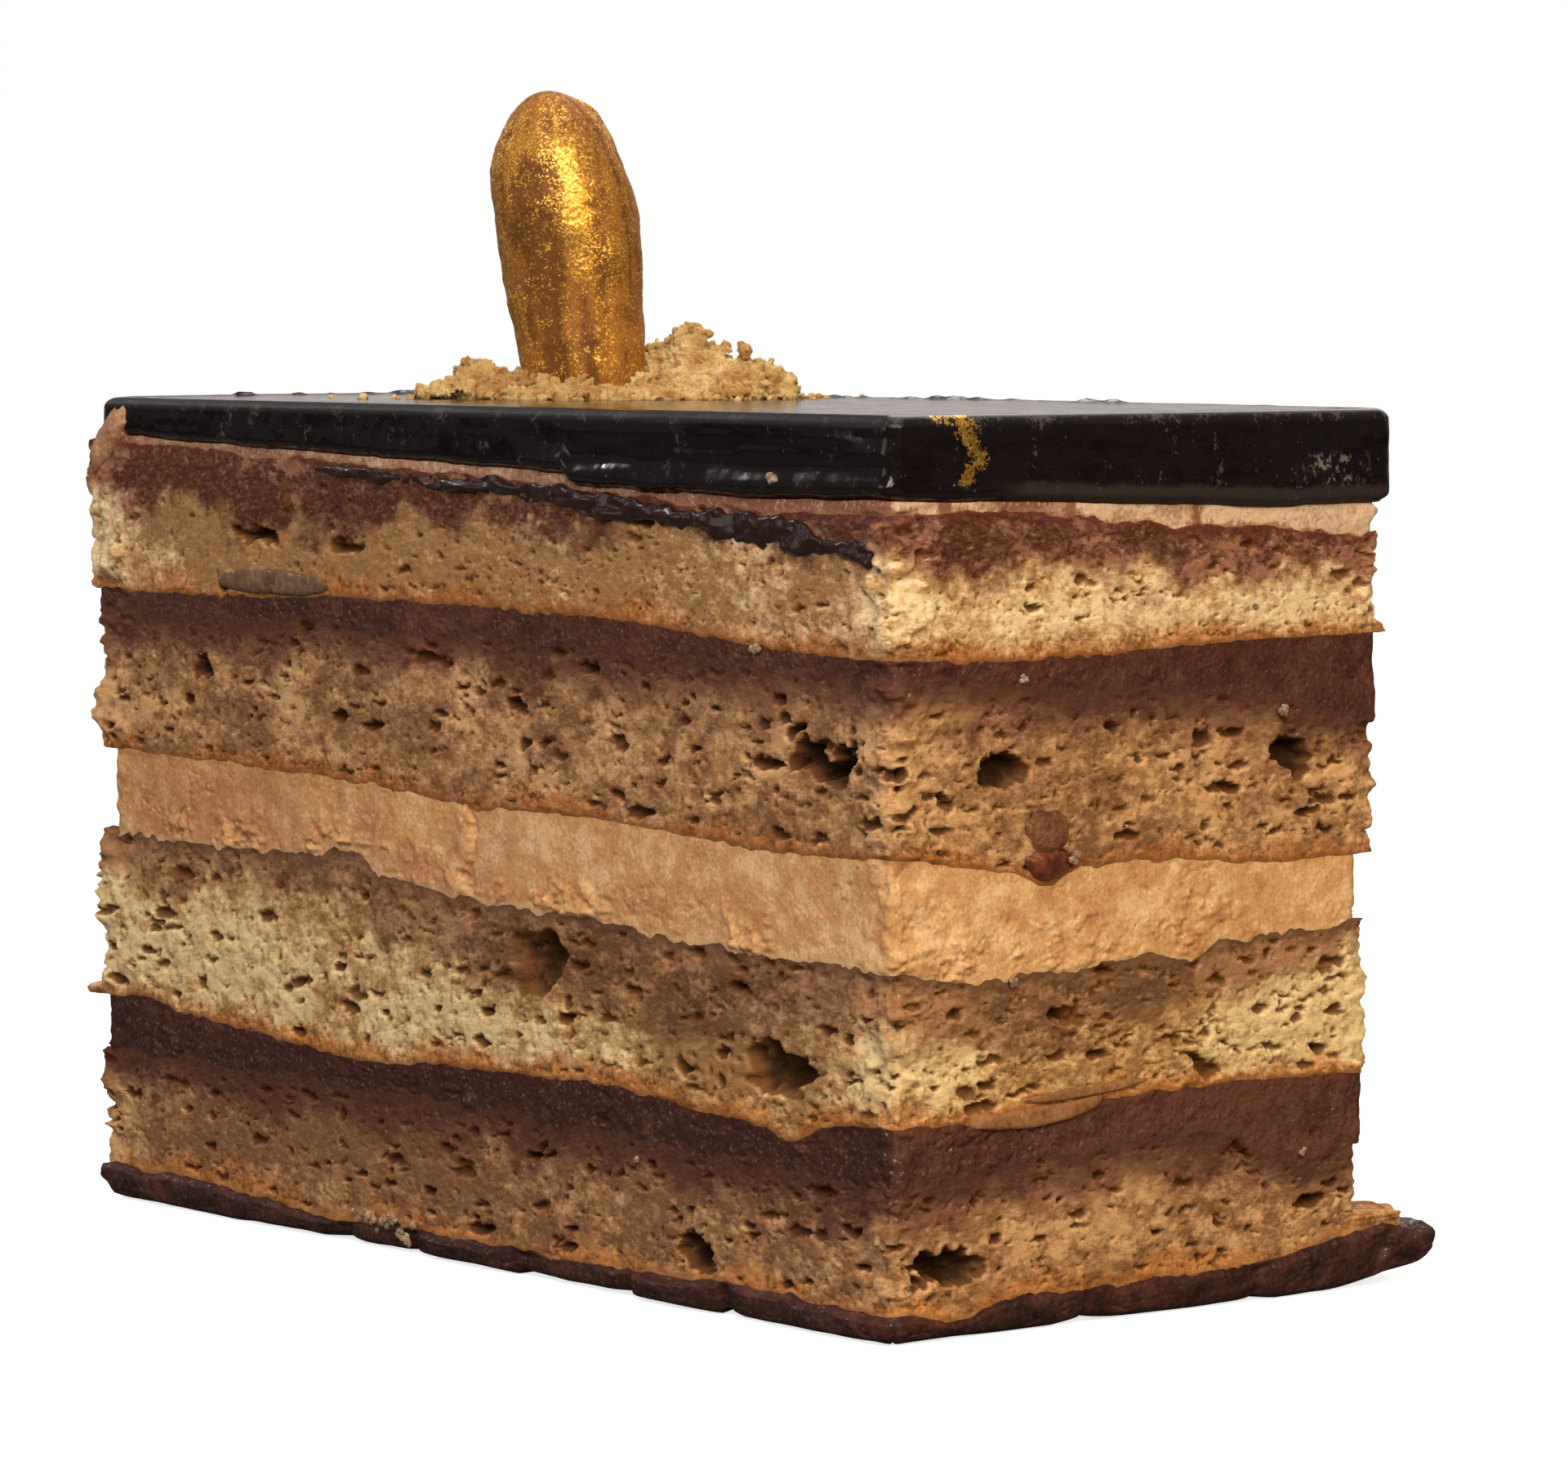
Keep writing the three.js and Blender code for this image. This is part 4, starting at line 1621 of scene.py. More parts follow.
def points_and_normals(mesh: bpy.types.Mesh) -> tuple[Array, Array]:
    """The mesh's vertices in millimetres and their normals."""
    points = np.empty(len(mesh.vertices) * 3, np.float32)
    normals = np.empty(len(mesh.vertices) * 3, np.float32)
    mesh.vertices.foreach_get("co", points)
    mesh.vertices.foreach_get("normal", normals)
    return points.reshape(-1, 3) / MM, normals.reshape(-1, 3)


@dataclass
class Nut:
    """The gilded kernel: a leaning barrel under a blunt dome, with shallow furrows down it."""

    height: float = 20.7
    foot: float = 4.15
    belly: float = 4.93
    belly_height: float = 12.5
    lean: float = 2.4
    flatten: float = 0.9
    rings: int = 220
    columns: int = 240
    seed: int = 77

    def radius(self, height: Array) -> Array:
        """Barrel below the belly, and belly * (1 - t^2)^0.55 in the dome above it."""
        barrel = self.foot + (self.belly - self.foot) * smoothstep(0, self.belly_height, height)
        dome = (height - self.belly_height) / (self.height - self.belly_height)
        return np.where(
            height < self.belly_height, barrel, self.belly * np.clip(1 - dome**2, 0, 1) ** 0.55
        )

    def build(self) -> bpy.types.Object:
        """Rings on circles that lean and shrink, with ridges and furrows between them."""
        share = np.sin(np.linspace(0, 1, self.rings, endpoint=False) * math.pi / 2)[:, None]
        turn = np.linspace(0, 2 * math.pi, self.columns, endpoint=False)[None]
        height = share * self.height
        noise = Lattice(self.seed)
        ring = (3.4 * np.cos(turn), 3.4 * np.sin(turn))
        furrows = noise.fractal(ring[0] * 1.1, ring[1] * 1.1, share * 2.2, 1.0, 3)
        dents = noise.fractal(ring[0], ring[1], height, 3.2, 3)
        fine = noise.fractal(ring[0], ring[1], height, 0.45, 3)
        groove = bell(np.sin((turn - 4.25 - 0.4 * share) / 2) / 0.09) * smoothstep(0.9, 0.5, share)
        fade = smoothstep(1.0, 0.92, share)
        pit = np.clip(-furrows - 0.1, 0, 1) + 0.8 * groove
        radius = self.radius(height) + fade * (0.08 * furrows + 0.17 * dents - 0.25 * groove)
        shoulder = bell((turn - 0.35) / 0.5, (share - 0.95) / 0.035)
        radius = radius + 0.03 * fine + 0.5 * shoulder
        shift = self.lean * share**1.2
        along = radius * np.cos(turn) - shift + 0.02 - 0.12 * share
        across = self.flatten * radius * np.sin(turn)
        points = heap_point(along, across, HEIGHT + height)
        # Painted highlight: glow thickens the gold in a patch on the front and a spot higher up. Painted
        # shade: dark darkens a stripe down the groove and a patch low on the front.
        glow = bell((turn - 4.88) / 0.2, (share - 0.62) / 0.22)
        glow = glow + 0.5 * bell((turn - 4.1) / 0.25, (share - 0.84) / 0.07)
        top = bell((share - 0.8) / 0.12)
        dark = bell((turn - 4.25) / 0.33) * smoothstep(0.84, 0.74, share)
        dark = dark + bell((turn - 4.85) / 0.12) * smoothstep(0.45, 0.3, share)
        tone = 0.5 + 0.12 * dents + 0.4 * glow + 0.1 * top - 0.16 * dark
        values = {"pit": 0.3 * pit + 0.28 * dark, "tone": tone + 0 * pit}
        piece = surface("gilded_nut_dressed", points, values)
        return dress(piece, NutFinish().material(), "gilded_nut")


@dataclass(frozen=True)
class Mound:
    """One rise of the crumble heap."""

    along: float
    across: float
    high: float
    wide: float


@dataclass
class Crumble:
    """A heap of biscuit crumble round the nut's foot, with stray crumbs about it.

    Clusters of lumps are set on a low core, melted into one skin and roughened.
    """

    reach: float = 12.9
    shift: float = 1.5
    depth: float = 7.0
    edge: float = 0.6
    clusters: int = 220
    singles: int = 380
    strays: int = 34
    lumps: int = 12
    voxel: float = 0.108
    seed: int = 5
    skin_seed: int = 6
    tone_seed: int = 8
    mounds: tuple[Mound, ...] = each(
        Mound, (-7, 0.2, 1.8, 2.3), (7, 1.2, 4.1, 1.9), (10.4, 0.6, 2, 1.8),
        (13.4, 0.4, 1.2, 1.6), (4.6, 3, 2.4, 1.8), (0, -4.6, 0.2, 2.4),
    )

    def height(self, along: Array, across: Array) -> Array:
        """Sum of the mounds, each high * exp(-(distance / wide)^2)."""
        return sum(
            m.high * np.exp(-(((along - m.along) ** 2 + (across - m.across) ** 2) / m.wide**2))
            for m in self.mounds
        )

    def core(self) -> Array:
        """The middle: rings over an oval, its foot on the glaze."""
        noise = Lattice(self.seed)
        turn = np.linspace(0, 2 * math.pi, 160, endpoint=False)[None]
        share = np.linspace(1, 0.02, 40)[:, None]
        uneven = 0.95 + 0.12 * noise.fractal(np.cos(turn) * 2, np.sin(turn) * 2, 0 * turn, 1.0, 3)
        along = self.shift + self.reach * share * uneven * np.cos(turn)
        across = self.depth * share * uneven * np.sin(turn)
        rough = 0.35 * noise.fractal(along, across, 0 * along, 0.9, 3)
        high = self.height(along, across) * 0.95 + (self.edge + rough) * smoothstep(1.0, 0.85, share)
        rings = heap_point(along, across, HEIGHT + np.maximum(high, 0.05))
        foot = heap_point(along[:1], across[:1], np.full(along[:1].shape, HEIGHT - 0.2))
        return np.concatenate([foot, rings])

    def places(self, count: int, random: np.random.Generator, reach: float) -> Array:
        """Places along and across the heap, spread by a sunflower's rule and shaken.

        The k-th lies at angle k * 137.5 degrees and distance sqrt(k / count) * reach.

        Args:
            count: how many places.
            random: the source of random numbers.
            reach: how far out they go, in shares of the heap's own reach.

        Returns:
            One row of two numbers for each place.
        """
        k = np.arange(count) + 0.5
        turn = k * math.pi * (3 - math.sqrt(5))
        share = np.sqrt(k / count) * reach
        shake = random.normal(0, 0.4, (2, count))
        along = self.shift + self.reach * share * np.cos(turn) + shake[0]
        return np.stack([along, self.depth * share * np.sin(turn) + shake[1]], -1)

    @staticmethod
    def clear_of_nut(places: Array, radius: Array) -> Array:
        """Pushes places that would lie inside the nut out to its skin."""
        away = np.hypot(places[:, 0], places[:, 1] / 0.92)
        need = 4.3 + 0.5 * radius
        scale = np.where(away < need, need / np.maximum(away, 0.2), 1.0)
        return places * scale[:, None]

    def centres(self, places: Array, radius: Array, lift: Array) -> Array:
        """Middles of lumps that lie on the heap, or on the glaze beyond it.

        Args:
            places: along and across for each lump.
            radius: radius of each lump.
            lift: how far each middle lies above the ground, in radii.

        Returns:
            One point for each lump.
        """
        ground = self.height(places[:, 0], places[:, 1]) + self.edge * 0.5
        share = ((places[:, 0] - self.shift) / self.reach) ** 2 + (places[:, 1] / self.depth) ** 2
        z = HEIGHT + ground * smoothstep(1.15, 0.8, share) + radius * np.maximum(lift, 0.1)
        return heap_point(places[:, 0], places[:, 1], z)

    def clustered(self, random: np.random.Generator) -> tuple[Array, Array]:
        """Middles and radii of the clusters: each is a few lumps that overlap."""
        middle = self.places(self.clusters, random, 0.98)
        size = random.uniform(0.5, 1.2, self.clusters)
        size = size * (1 - 0.4 * smoothstep(-2.0, -5.0, middle[:, 1]))
        places = np.repeat(middle, self.lumps, 0)
        radius = np.repeat(size * 0.29, self.lumps) * random.uniform(0.5, 1.4, len(places))
        shake = random.normal(0, 1, (len(places), 3)) * np.repeat(size, self.lumps)[:, None]
        places = self.clear_of_nut(places + 0.36 * shake[:, :2], radius)
        lift = np.repeat(random.uniform(0.0, 1.2, self.clusters), self.lumps) + 0.8 * shake[:, 2]
        return self.centres(places, radius, lift), radius

    def build(self) -> bpy.types.Object:
        """Melts core, clusters and single lumps together, roughens them and adds the strays."""
        random = np.random.default_rng(self.seed)
        sets = [scattered_lumps(*self.clustered(random), random, 0.42)]
        places = self.places(self.singles, random, 1.0)
        radius = random.uniform(0.16, 0.36, self.singles)
        places = self.clear_of_nut(places, radius)
        lift = random.uniform(0.0, 0.6, self.singles)
        sets.append(scattered_lumps(self.centres(places, radius, lift), radius, random))
        core = surface("core", self.core(), {})
        heap = self.joined(core, sets)
        fuse(heap, self.voxel, 9)
        self.roughen(heap.data)
        turn = random.uniform(0, 2 * math.pi, self.strays)
        far = 1.02 + 0.6 * random.uniform(0, 1, self.strays) ** 2.5
        along = self.shift + self.reach * far * np.cos(turn)
        away = np.stack([along, self.depth * far * np.sin(turn)], -1)
        radius = random.uniform(0.12, 0.34, self.strays)
        loose = scattered_lumps(self.centres(away, radius, radius * 0), radius, random, 0.3)
        piece = self.joined(heap, [loose])
        piece.name = piece.data.name = "crumble_dressed"
        points, _ = points_and_normals(piece.data)
        keep_values(piece.data, "tone", Lattice(self.tone_seed).fractal(*points.T, 1.6, 3))
        return dress(piece, CrumbleFinish().material(), "crumble")

    def roughen(self, mesh: bpy.types.Mesh) -> None:
        """Swells the skin into small round lumps with creases between them.

        Args:
            mesh: the heap's mesh, changed in place.
        """
        points, normals = points_and_normals(mesh)
        noise = Lattice(self.skin_seed)
        bumps = 0.34 * np.abs(noise.fractal(*points.T, 0.5, 3))
        bumps = bumps + 0.2 * np.abs(noise.fractal(*points.T, 0.25, 2))
        move = 0.22 * noise.fractal(*points.T, 1.1, 2) + bumps - 0.12
        points = points + normals * move[:, None]
        points[:, 2] = np.maximum(points[:, 2], HEIGHT - 0.05)
        mesh.vertices.foreach_set("co", (points * MM).astype(np.float32).reshape(-1))
        mesh.update()

    @staticmethod
    def joined(piece: bpy.types.Object, sets: Sequence[tuple]) -> bpy.types.Object:
        """Adds further triangles to a piece.

        Args:
            piece: the piece, whose mesh is replaced.
            sets: pairs of vertices and triangles, in millimetres.

        Returns:
            The piece.
        """
        old = piece.data
        old.calc_loop_triangles()
        index = np.empty(len(old.loop_triangles) * 3, np.int32)
        old.loop_triangles.foreach_get("vertices", index)
        verts, _ = points_and_normals(old)
        all_verts, faces = [verts], [index.reshape(-1, 3)]
        start = len(verts)
        for points, triangles in sets:
            faces.append(triangles + start)
            all_verts.append(points)
            start += len(points)
        piece.data = mesh_of(piece.name, np.concatenate(all_verts), [np.concatenate(faces)])
        bpy.data.meshes.remove(old)
        return piece


# --- small dressings -----------------------------------------------------------------------


@dataclass
class WetSeam:
    """Syrup that has run out along the top sponge: a flat shining band between two lines."""

    start: float = -17.0
    end: float = 41.4
    upper: tuple[float, ...] = (50.8, 50.5, 50.15, 49.4, 48.9, 47.3)
    lower: tuple[float, ...] = (50.3, 49.8, 49.3, 48.15, 47.0, 46.2)
    proud: float = 0.26
    sunk: float = 0.5

    def build(self) -> bpy.types.Object:
        """Rings round the band: flattened half-ellipses that stand just out of the front."""
        share = np.linspace(0, 1, 560)[:, None]
        turn = np.linspace(0, 2 * math.pi, 40, endpoint=False)[None]
        noise = Lattice(23)
        x = self.start + (self.end - self.start) * share + 0 * turn
        high, low = (through(line, share) for line in (self.upper, self.lower))
        ends = smoothstep(0, 0.05, share) * smoothstep(1.0, 0.985, share)
        half = (high - low) / 2 * (0.15 + 0.85 * ends)
        pinch = noise.fractal(x[:, :1], 0 * share, 0 * share, 2.4, 3)
        half = half * np.clip(1.05 + 0.4 * pinch, 0.4, 2)
        side = np.where(np.sin(turn) > 0, 1, -1)
        fringe = 1 + 0.3 * noise.fractal(x, side * 5.0 + 0 * x, 0 * x, 1.3, 2)
        z = (high + low) / 2 + half * np.sin(turn) * fringe
        z = z + 0.12 * noise.fractal(x, 0 * x, 0 * x, 3.0, 3)
        lumps = noise.fractal(x * 0.7, 0 * x, z * 1.5, 1.3, 2)
        out = np.where(np.cos(turn) > 0, (self.proud + 0.24 * lumps) * ends + 0.02, self.sunk)
        y = -WIDTH / 2 - out * np.sign(np.cos(turn)) * np.sqrt(np.abs(np.cos(turn)))
        piece = surface("syrup_seam", np.stack([x, y, z], -1), {})
        return dress(piece, SyrupFinish().material())


SMEAR_SQUARENESS = 2.6
SMEAR_RINGS = 14
SMEAR_SEED = 61


@dataclass(frozen=True)
class Smear:
    """A smooth flake or blob pressed on a cut face, rounder the nearer `dome` is to 2."""

    face: Face
    at: float
    up: float
    wide: float
    high: float
    proud: float = 0.35
    tilt: float = 0.0
    ragged: float = 0.16
    bend: float = 0.0
    dome: float = 6.0

    def shell(self, noise: Lattice) -> tuple[Array, Array]:
        """A pillow, |u|^k + |v|^k = share^k in outline, proud * (1 - share^dome) thick.

        Args:
            noise: the noise that frays its edge and dents its face.

        Returns:
            Its rings of points, and a zero for each.
        """
        turn = np.linspace(0, 2 * math.pi, 120, endpoint=False)[None]
        back, front = np.linspace(0.05, 1, SMEAR_RINGS), np.linspace(0.97, 0.05, SMEAR_RINGS)
        share = np.concatenate([back, front])[:, None]
        shown = np.concatenate([0 * back, 0 * front + 1])[:, None]
        power = SMEAR_SQUARENESS
        shape = (np.abs(np.cos(turn)) ** power + np.abs(np.sin(turn)) ** power) ** (-1 / power)
        ring = (np.cos(turn) * 2.4 + self.at, np.sin(turn) * 2.4)
        edge = 1 + self.ragged * noise.fractal(*ring, 0 * turn, 1.0, 3)
        along = self.wide * shape * edge * share * np.cos(turn)
        up = self.high * shape * edge * share * np.sin(turn)
        level = self.proud * (1 - share**self.dome) * (1 + 0.2 * noise.at(along, up, 0 * up, 1.5))
        out = np.where(shown > 0, level, -0.6)
        place = self.at + along * math.cos(self.tilt) - up * math.sin(self.tilt)
        z = self.up + along * math.sin(self.tilt) + up * math.cos(self.tilt)
        z = z + self.bend * (along / self.wide) ** 2
        if self.face is FRONT:
            points = np.stack([place, -WIDTH / 2 - out, z], -1)
        else:
            points = np.stack([LENGTH / 2 + out, place, z], -1)
        return points, 0 * along

    def build(self, name: str, material: bpy.types.Material, slot: str) -> bpy.types.Object:
        """Makes the piece and dresses it.

        Args:
            name: the piece's name.
            material: its finish.
            slot: not used.

        Returns:
            The piece.
        """
        points, zero = self.shell(Lattice(SMEAR_SEED))
        values = {"pit": zero, "tone": zero, "rise": zero + 9}
        return dress(surface(name, points, values), material)


CRUMB_PLACES = (
    (RIGHT, -10, 39.2, 0.3), (RIGHT, 11, 36.5, 0.42), (RIGHT, -6, 28.3, 0.42),
    (RIGHT, -10.8, 21.1, 0.3), (RIGHT, 12.8, 9, 0.25), (RIGHT, 4, 33.6, 0.2),
    (FRONT, 30, 40.8, 0.4), (FRONT, 31.8, 51, 0.42), (FRONT, 8, 36.4, 0.2),
    (FRONT, 18, 8.6, 0.22), (FRONT, -26, 26.6, 0.2), (RIGHT, 8.6, 43, 0.2),
    (FRONT, -9, 1.8, 0.5), (FRONT, -7.2, 1.6, 0.4), (FRONT, -10.6, 1.9, 0.4),
    (FRONT, -6.7, 0.9, 0.36), (FRONT, -11.8, 1.9, 0.3), (FRONT, -5.8, 1.9, 0.3),
    (FRONT, -9.9, 1.2, 0.26), (FRONT, -8, 2.1, 0.4), (FRONT, -12.8, 2.1, 0.2),
)


def build_crumbs() -> bpy.types.Object:
    """The single crumbs that cling to the cut faces."""
    random = np.random.default_rng(19)
    centres, radii = [], []
    for face, at, up, size in CRUMB_PLACES:
        for _ in range(6):
            shake = random.normal(0, 0.36 * size, 3)
            flat = (at + shake[0], -WIDTH / 2 - 0.2 - abs(shake[2]) * 0.5)
            x, y = flat if face is FRONT else (-flat[1] + (LENGTH - WIDTH) / 2, flat[0])
            centres.append((x, y, up + shake[1]))
            radii.append(size * random.uniform(0.4, 0.8))
    verts, faces = scattered_lumps(np.array(centres), np.array(radii), random, 0.2)
    mesh = mesh_of("clinging_crumbs", verts, [faces])
    keep_values(mesh, "tone", random.uniform(-0.4, 0.4, len(verts)))
    return dress(link("clinging_crumbs", mesh), CrumbleFinish(
        "clinging_crumb", srgb(124, 88, 66), srgb(162, 125, 98), srgb(206, 176, 146)
    ).material())


class Slice:
    """The whole slice: its cuts from the foot up, its layers between them, and its topping."""

    def __init__(self) -> None:
        """Makes the cuts and the layers between them."""
        self.cuts = self.make_cuts()
        self.layers = self.make_layers()

    @staticmethod
    def make_cuts() -> list[Cut]:
        """The cuts from the underside to the top, with the places where they dip or swell."""
        return [
            Level(),
            Cut((2.2, 2.1, 1.3, 1.6, 1.5, 1.9, 1.8), (1.8, 2.1, 2.1, 2.4, 3.8), 0.16, 2.2, each(
                Swell, (FRONT, -9.5, 3, 0.45), (RIGHT, -15, 2.4, -0.9),
            )),
            Cut((10.2, 10.2, 10.1, 10, 9.8, 9.5, 9), (9, 10, 11, 9.2, 9.4), 0.34, 2.6, each(
                Swell, (RIGHT, 6, 2.4, 0.6), (RIGHT, 12.6, 2.4, -0.8),
            ), 12),
            Cut((13.9, 13.2, 12.2, 12.6, 13, 12, 12.9), (12.9, 13, 13.6, 13.8, 13.6), 0.16, 2.6, each(
                Swell, (FRONT, 33, 2.4, -0.7), (FRONT, -37, 3, 0.5),
            ), 13),
            Cut((25.3, 24.9, 25, 23.5, 23.2, 22.3, 22), (22, 21.5, 21.9, 22.7, 23), 0.36, 2.4, each(
                Swell, (RIGHT, 4, 1.6, -0.6), (RIGHT, -14, 2.5, -0.5), (FRONT, -13, 2, 0.5),
            ), 14, 0.27),
            Cut((31, 30.8, 30.4, 29.6, 29.6, 28.7, 28.8), (28.8, 27.6, 27.8, 27.2, 27.4), 0.14, 2.6, each(
                Swell, (FRONT, 2, 1.5, -0.4), (RIGHT, -8, 1.6, -0.9),
            ), 15),
            Cut((40.3, 40.3, 40.3, 40.3, 40, 39.6, 39.3), (39.3, 38.7, 38, 37.5, 35.6), 0.32, 2.6, (), 16),
            Cut((42, 41.9, 42.3, 42.2, 42, 41.1, 40.6), (40.6, 40.3, 40.7, 40.9, 41.1), 0.12, 3.2, (), 17),
            Cut((52, 51.5, 51, 50.45, 49.8, 49.1, 49.1), (49.1, 49.1, 48.2, 47.8, 47.1), 0.2, 2.4, (), 18),
            Cut(
                (52.5, 52, 51.6, 51.25, 50.8, 50.6, 50.6), (50.6, 50.4, 50.1, 49.8, 49.9),
                0.08, 4, (Step(10.8, -0.7),), 19, 0.05,
            ),
            Level(level=HEIGHT),
        ]

    @staticmethod
    def sponges() -> tuple[SpongeFinish, ...]:
        """The finishes of the four sponges, from the foot up."""
        brown = SpongeFinish(
            "brown_sponge", srgb(126, 86, 54), srgb(160, 115, 75), srgb(196, 150, 103),
            srgb(92, 56, 38), srgb(136, 92, 62), srgb(80, 44, 31), srgb(162, 97, 46), 0.6,
        )
        bottom = replace(
            brown, name="bottom_sponge", crust=srgb(184, 117, 60), crust_high=0.62, burnt=0.35
        )
        pale = SpongeFinish(
            "pale_sponge", srgb(152, 109, 67), srgb(189, 147, 97), srgb(218, 186, 135),
            srgb(104, 69, 43), srgb(158, 113, 76), srgb(104, 70, 46), srgb(176, 106, 46),
            stain_high=1.2,
        )
        top = SpongeFinish(
            "top_sponge", srgb(156, 112, 70), srgb(200, 157, 110), srgb(226, 194, 148),
            srgb(79, 40, 28), srgb(152, 103, 77), srgb(90, 44, 31), srgb(168, 100, 44),
            0.75, 1.3, 0.55,
        )
        return bottom, pale, brown, top

    @staticmethod
    def creams() -> tuple[CreamFinish, ...]:
        """The finishes of the foot, the ganaches, and the thick and the thin buttercream."""
        foot = CreamFinish(
            "chocolate_foot", srgb(43, 20, 14), srgb(61, 31, 22), srgb(86, 48, 35),
            srgb(43, 20, 14), 0.42, 0.3, 0.06, 0.22, 0.02,
        )
        ganache = CreamFinish(
            "chocolate_ganache", srgb(62, 31, 21), srgb(79, 42, 28), srgb(96, 56, 40),
            srgb(84, 48, 34), 0.55, 0.35, 0.17, 0.16, 0.03,
        )
        butter = CreamFinish(
            "coffee_buttercream", srgb(180, 121, 75), srgb(199, 145, 92), srgb(222, 176, 126),
            srgb(206, 160, 110), relief=0.06, glow=0.18,
        )
        thin = CreamFinish(
            "thin_buttercream", srgb(134, 84, 60), srgb(172, 127, 96), srgb(211, 173, 139),
            srgb(146, 98, 70), 0.4, 0.3, 0.08, 0.3, 0.12, 0.25,
        )
        return foot, ganache, butter, thin

    def make_layers(self) -> list[Layer]:
        """The layers from the foot up."""
        c = self.cuts
        bottom, pale, brown, top = self.sponges()
        foot, ganache, butter, thin = self.creams()
        return [
            Foot(
                "chocolate_base", "chocolate_foot", c[0], c[1], (0.2, 0.2, 4.6, 0.9), 31,
                colours=foot, chips=0.2,
            ),
            Sponge(
                "sponge_bottom", "sponge", c[1], c[2], (0, 0, -2.4, 0.5), 32, rows=70,
                colours=bottom, soak_front=(1.6, 1.8, 2.2, 2.4), soak_right=(2.4, 1.8, 1.4),
                tears=each(
                    Tear, (FRONT, 23.8, 3.4, 1.8, 1, 1.8), (RIGHT, -16, 3.9, 2.6, 0.95, 2.2),
                    (FRONT, -14, 8, 1, 0.6, 1.2), (FRONT, 8.5, 8, 0.9, 0.5, 1.2),
                    (RIGHT, 7.6, 9.3, 1.7, 0.4, 1),
                ),
                blotches=each(Blotch, (RIGHT, 3, 5.5, 14, 2.2, 0.35), (FRONT, 0, 8, 60, 4.5, -0.7)),
                spurs=(Spur((8, 16.9, -1), (60, 60, 1.35), (0, 5)),),
            ),
            Cream(
                "ganache_lower", "ganache", c[2], c[3], (0, 0, -1.9, 0.1), 33, rows=26,
                colours=ganache, chips=0.16, chip_size=0.9, cracks=0.2, fringe=0.12, loose=0.3,
                # Painted shade on the front face and painted light on the right face: the blotches darken
                # one and pale the other.
                blotches=each(Blotch, (FRONT, 0, 12, 60, 9, -1.2), (RIGHT, 0, 12, 30, 9, 1)),
            ),
            Sponge(
                "sponge_lower_middle", "sponge_pale", c[3], c[4], (0, 0, -1.8, 0.9), 34,
                lump=1.6, torn=0.1, colours=pale,
                soak_front=(2.6, 2.6, 3.6, 5, 4.6, 3.6), soak_right=(3.6, 4.4, 2.4, 2),
                tears=each(
                    Tear, (FRONT, 31.5, 15.6, 3.6, 1.9, 3, 0.25), (FRONT, 7, 20.2, 3.4, 2.1, 3.2, 0.6),
                    (FRONT, 22.5, 14.8, 1.1, 0.8, 1.4), (RIGHT, -6.5, 18.5, 1.2, 0.7, 1.2),
                    (RIGHT, 5, 14.6, 0.9, 0.5, 1),
                ),
                blotches=each(
                    Blotch, (FRONT, -32, 18, 14, 4, 1), (FRONT, 4, 15.5, 22, 2.2, 0.6),
                    (RIGHT, 13, 18, 6, 4, 1.7), (RIGHT, -17, 15, 5, 3, 0.6),
                    (RIGHT, -3, 17, 7, 4, -0.5), (FRONT, 25, 17, 14, 3.5, -1.2),
                ),
                spurs=(Spur((-60, -60, -1), (-42.6, -17, 0.9), (-1.3, -0.2)),),
            ),
            Cream(
                "buttercream_middle", "buttercream", c[4], c[5], (0, 0, -2.7, -1.1), 35, rows=50,
                colours=butter, chips=0.03, chip_size=1.6, fringe=0.2, loose=0.05, knob=1.1,
                comb=0.008, drag=0.01,
                crumbled=each(
                    Blotch, (RIGHT, -16.2, 23.6, 2.6, 2, 1.4), (RIGHT, -7, 24.4, 2.2, 0.9, 1.2),
                    (FRONT, -20, 25.5, 9, 1.6, 0.6), (FRONT, 22, 24.5, 7, 1.4, 0.5),
                    (RIGHT, 3.5, 24.8, 2, 0.8, 0.9),
                ),
                creases=each(
                    Crease, (FRONT, -0.3, 0.3, 0.45), (FRONT, -1.3, 0.7, -0.2),
                    (FRONT, -15, 0.5, 0.1), (FRONT, -29, 0.7, 0.1),
                ),
                blotches=each(
                    Blotch, (FRONT, -30, 28, 16, 5, -0.7), (RIGHT, -14, 24, 6, 3, 0.8),
                    (FRONT, 10, 26, 10, 3, 0.4),
                ),
            ),
            Sponge(
                "sponge_upper_middle", "sponge", c[5], c[6], (0, 0, -1.1, 0.9), 36,
                colours=brown, soak_front=(2, 2.2, 2.6, 2.4), soak_right=(2.6, 2.8, 2.2),
                tears=each(
                    Tear, (FRONT, 36, 34.1, 4.4, 1.2, 2.6), (RIGHT, -11.7, 33.7, 1.9, 1.1, 2),
                    (RIGHT, 11.7, 33.5, 2.2, 1, 2), (RIGHT, -8, 30.2, 1.6, 1.2, 0.3),
                    (FRONT, -30.5, 36.9, 1.5, 0.9, 1.6), (FRONT, 33.6, 36.2, 1, 0.8, 1.2),
                    (RIGHT, 4, 35, 1.1, 0.5, 1), (RIGHT, -3, 36.3, 0.9, 0.35, 1),
                ),
                blotches=each(Blotch, (RIGHT, 8, 30, 14, 3, 0.1), (FRONT, 0, 36, 60, 9, 0.1)),
            ),
            Cream(
                "ganache_upper", "ganache", c[6], c[7], (0, 0, -0.7, 0.9), 37, rows=20,
                colours=ganache, chips=0.1, chip_size=0.9, cracks=0.1, fringe=0.07, loose=0.25,
            ),
            Sponge(
                "sponge_top", "sponge_pale", c[7], c[8], (0, 0, -0.5, 2), 38, rows=70,
                pores=each(
                    Pores, (110, 0.09, 0.17, 2.2, 1.5), (26, 0.13, 0.22, 2.2, 2.2),
                    (6, 0.2, 0.38, 2.2, 2.4),
                ),
                colours=top, soak_front=(3.6, 4.2, 3.8, 2.6, 1.6, 1.8, 2.8),
                soak_right=(3.2, 3.8, 3.4, 3, 2.6),
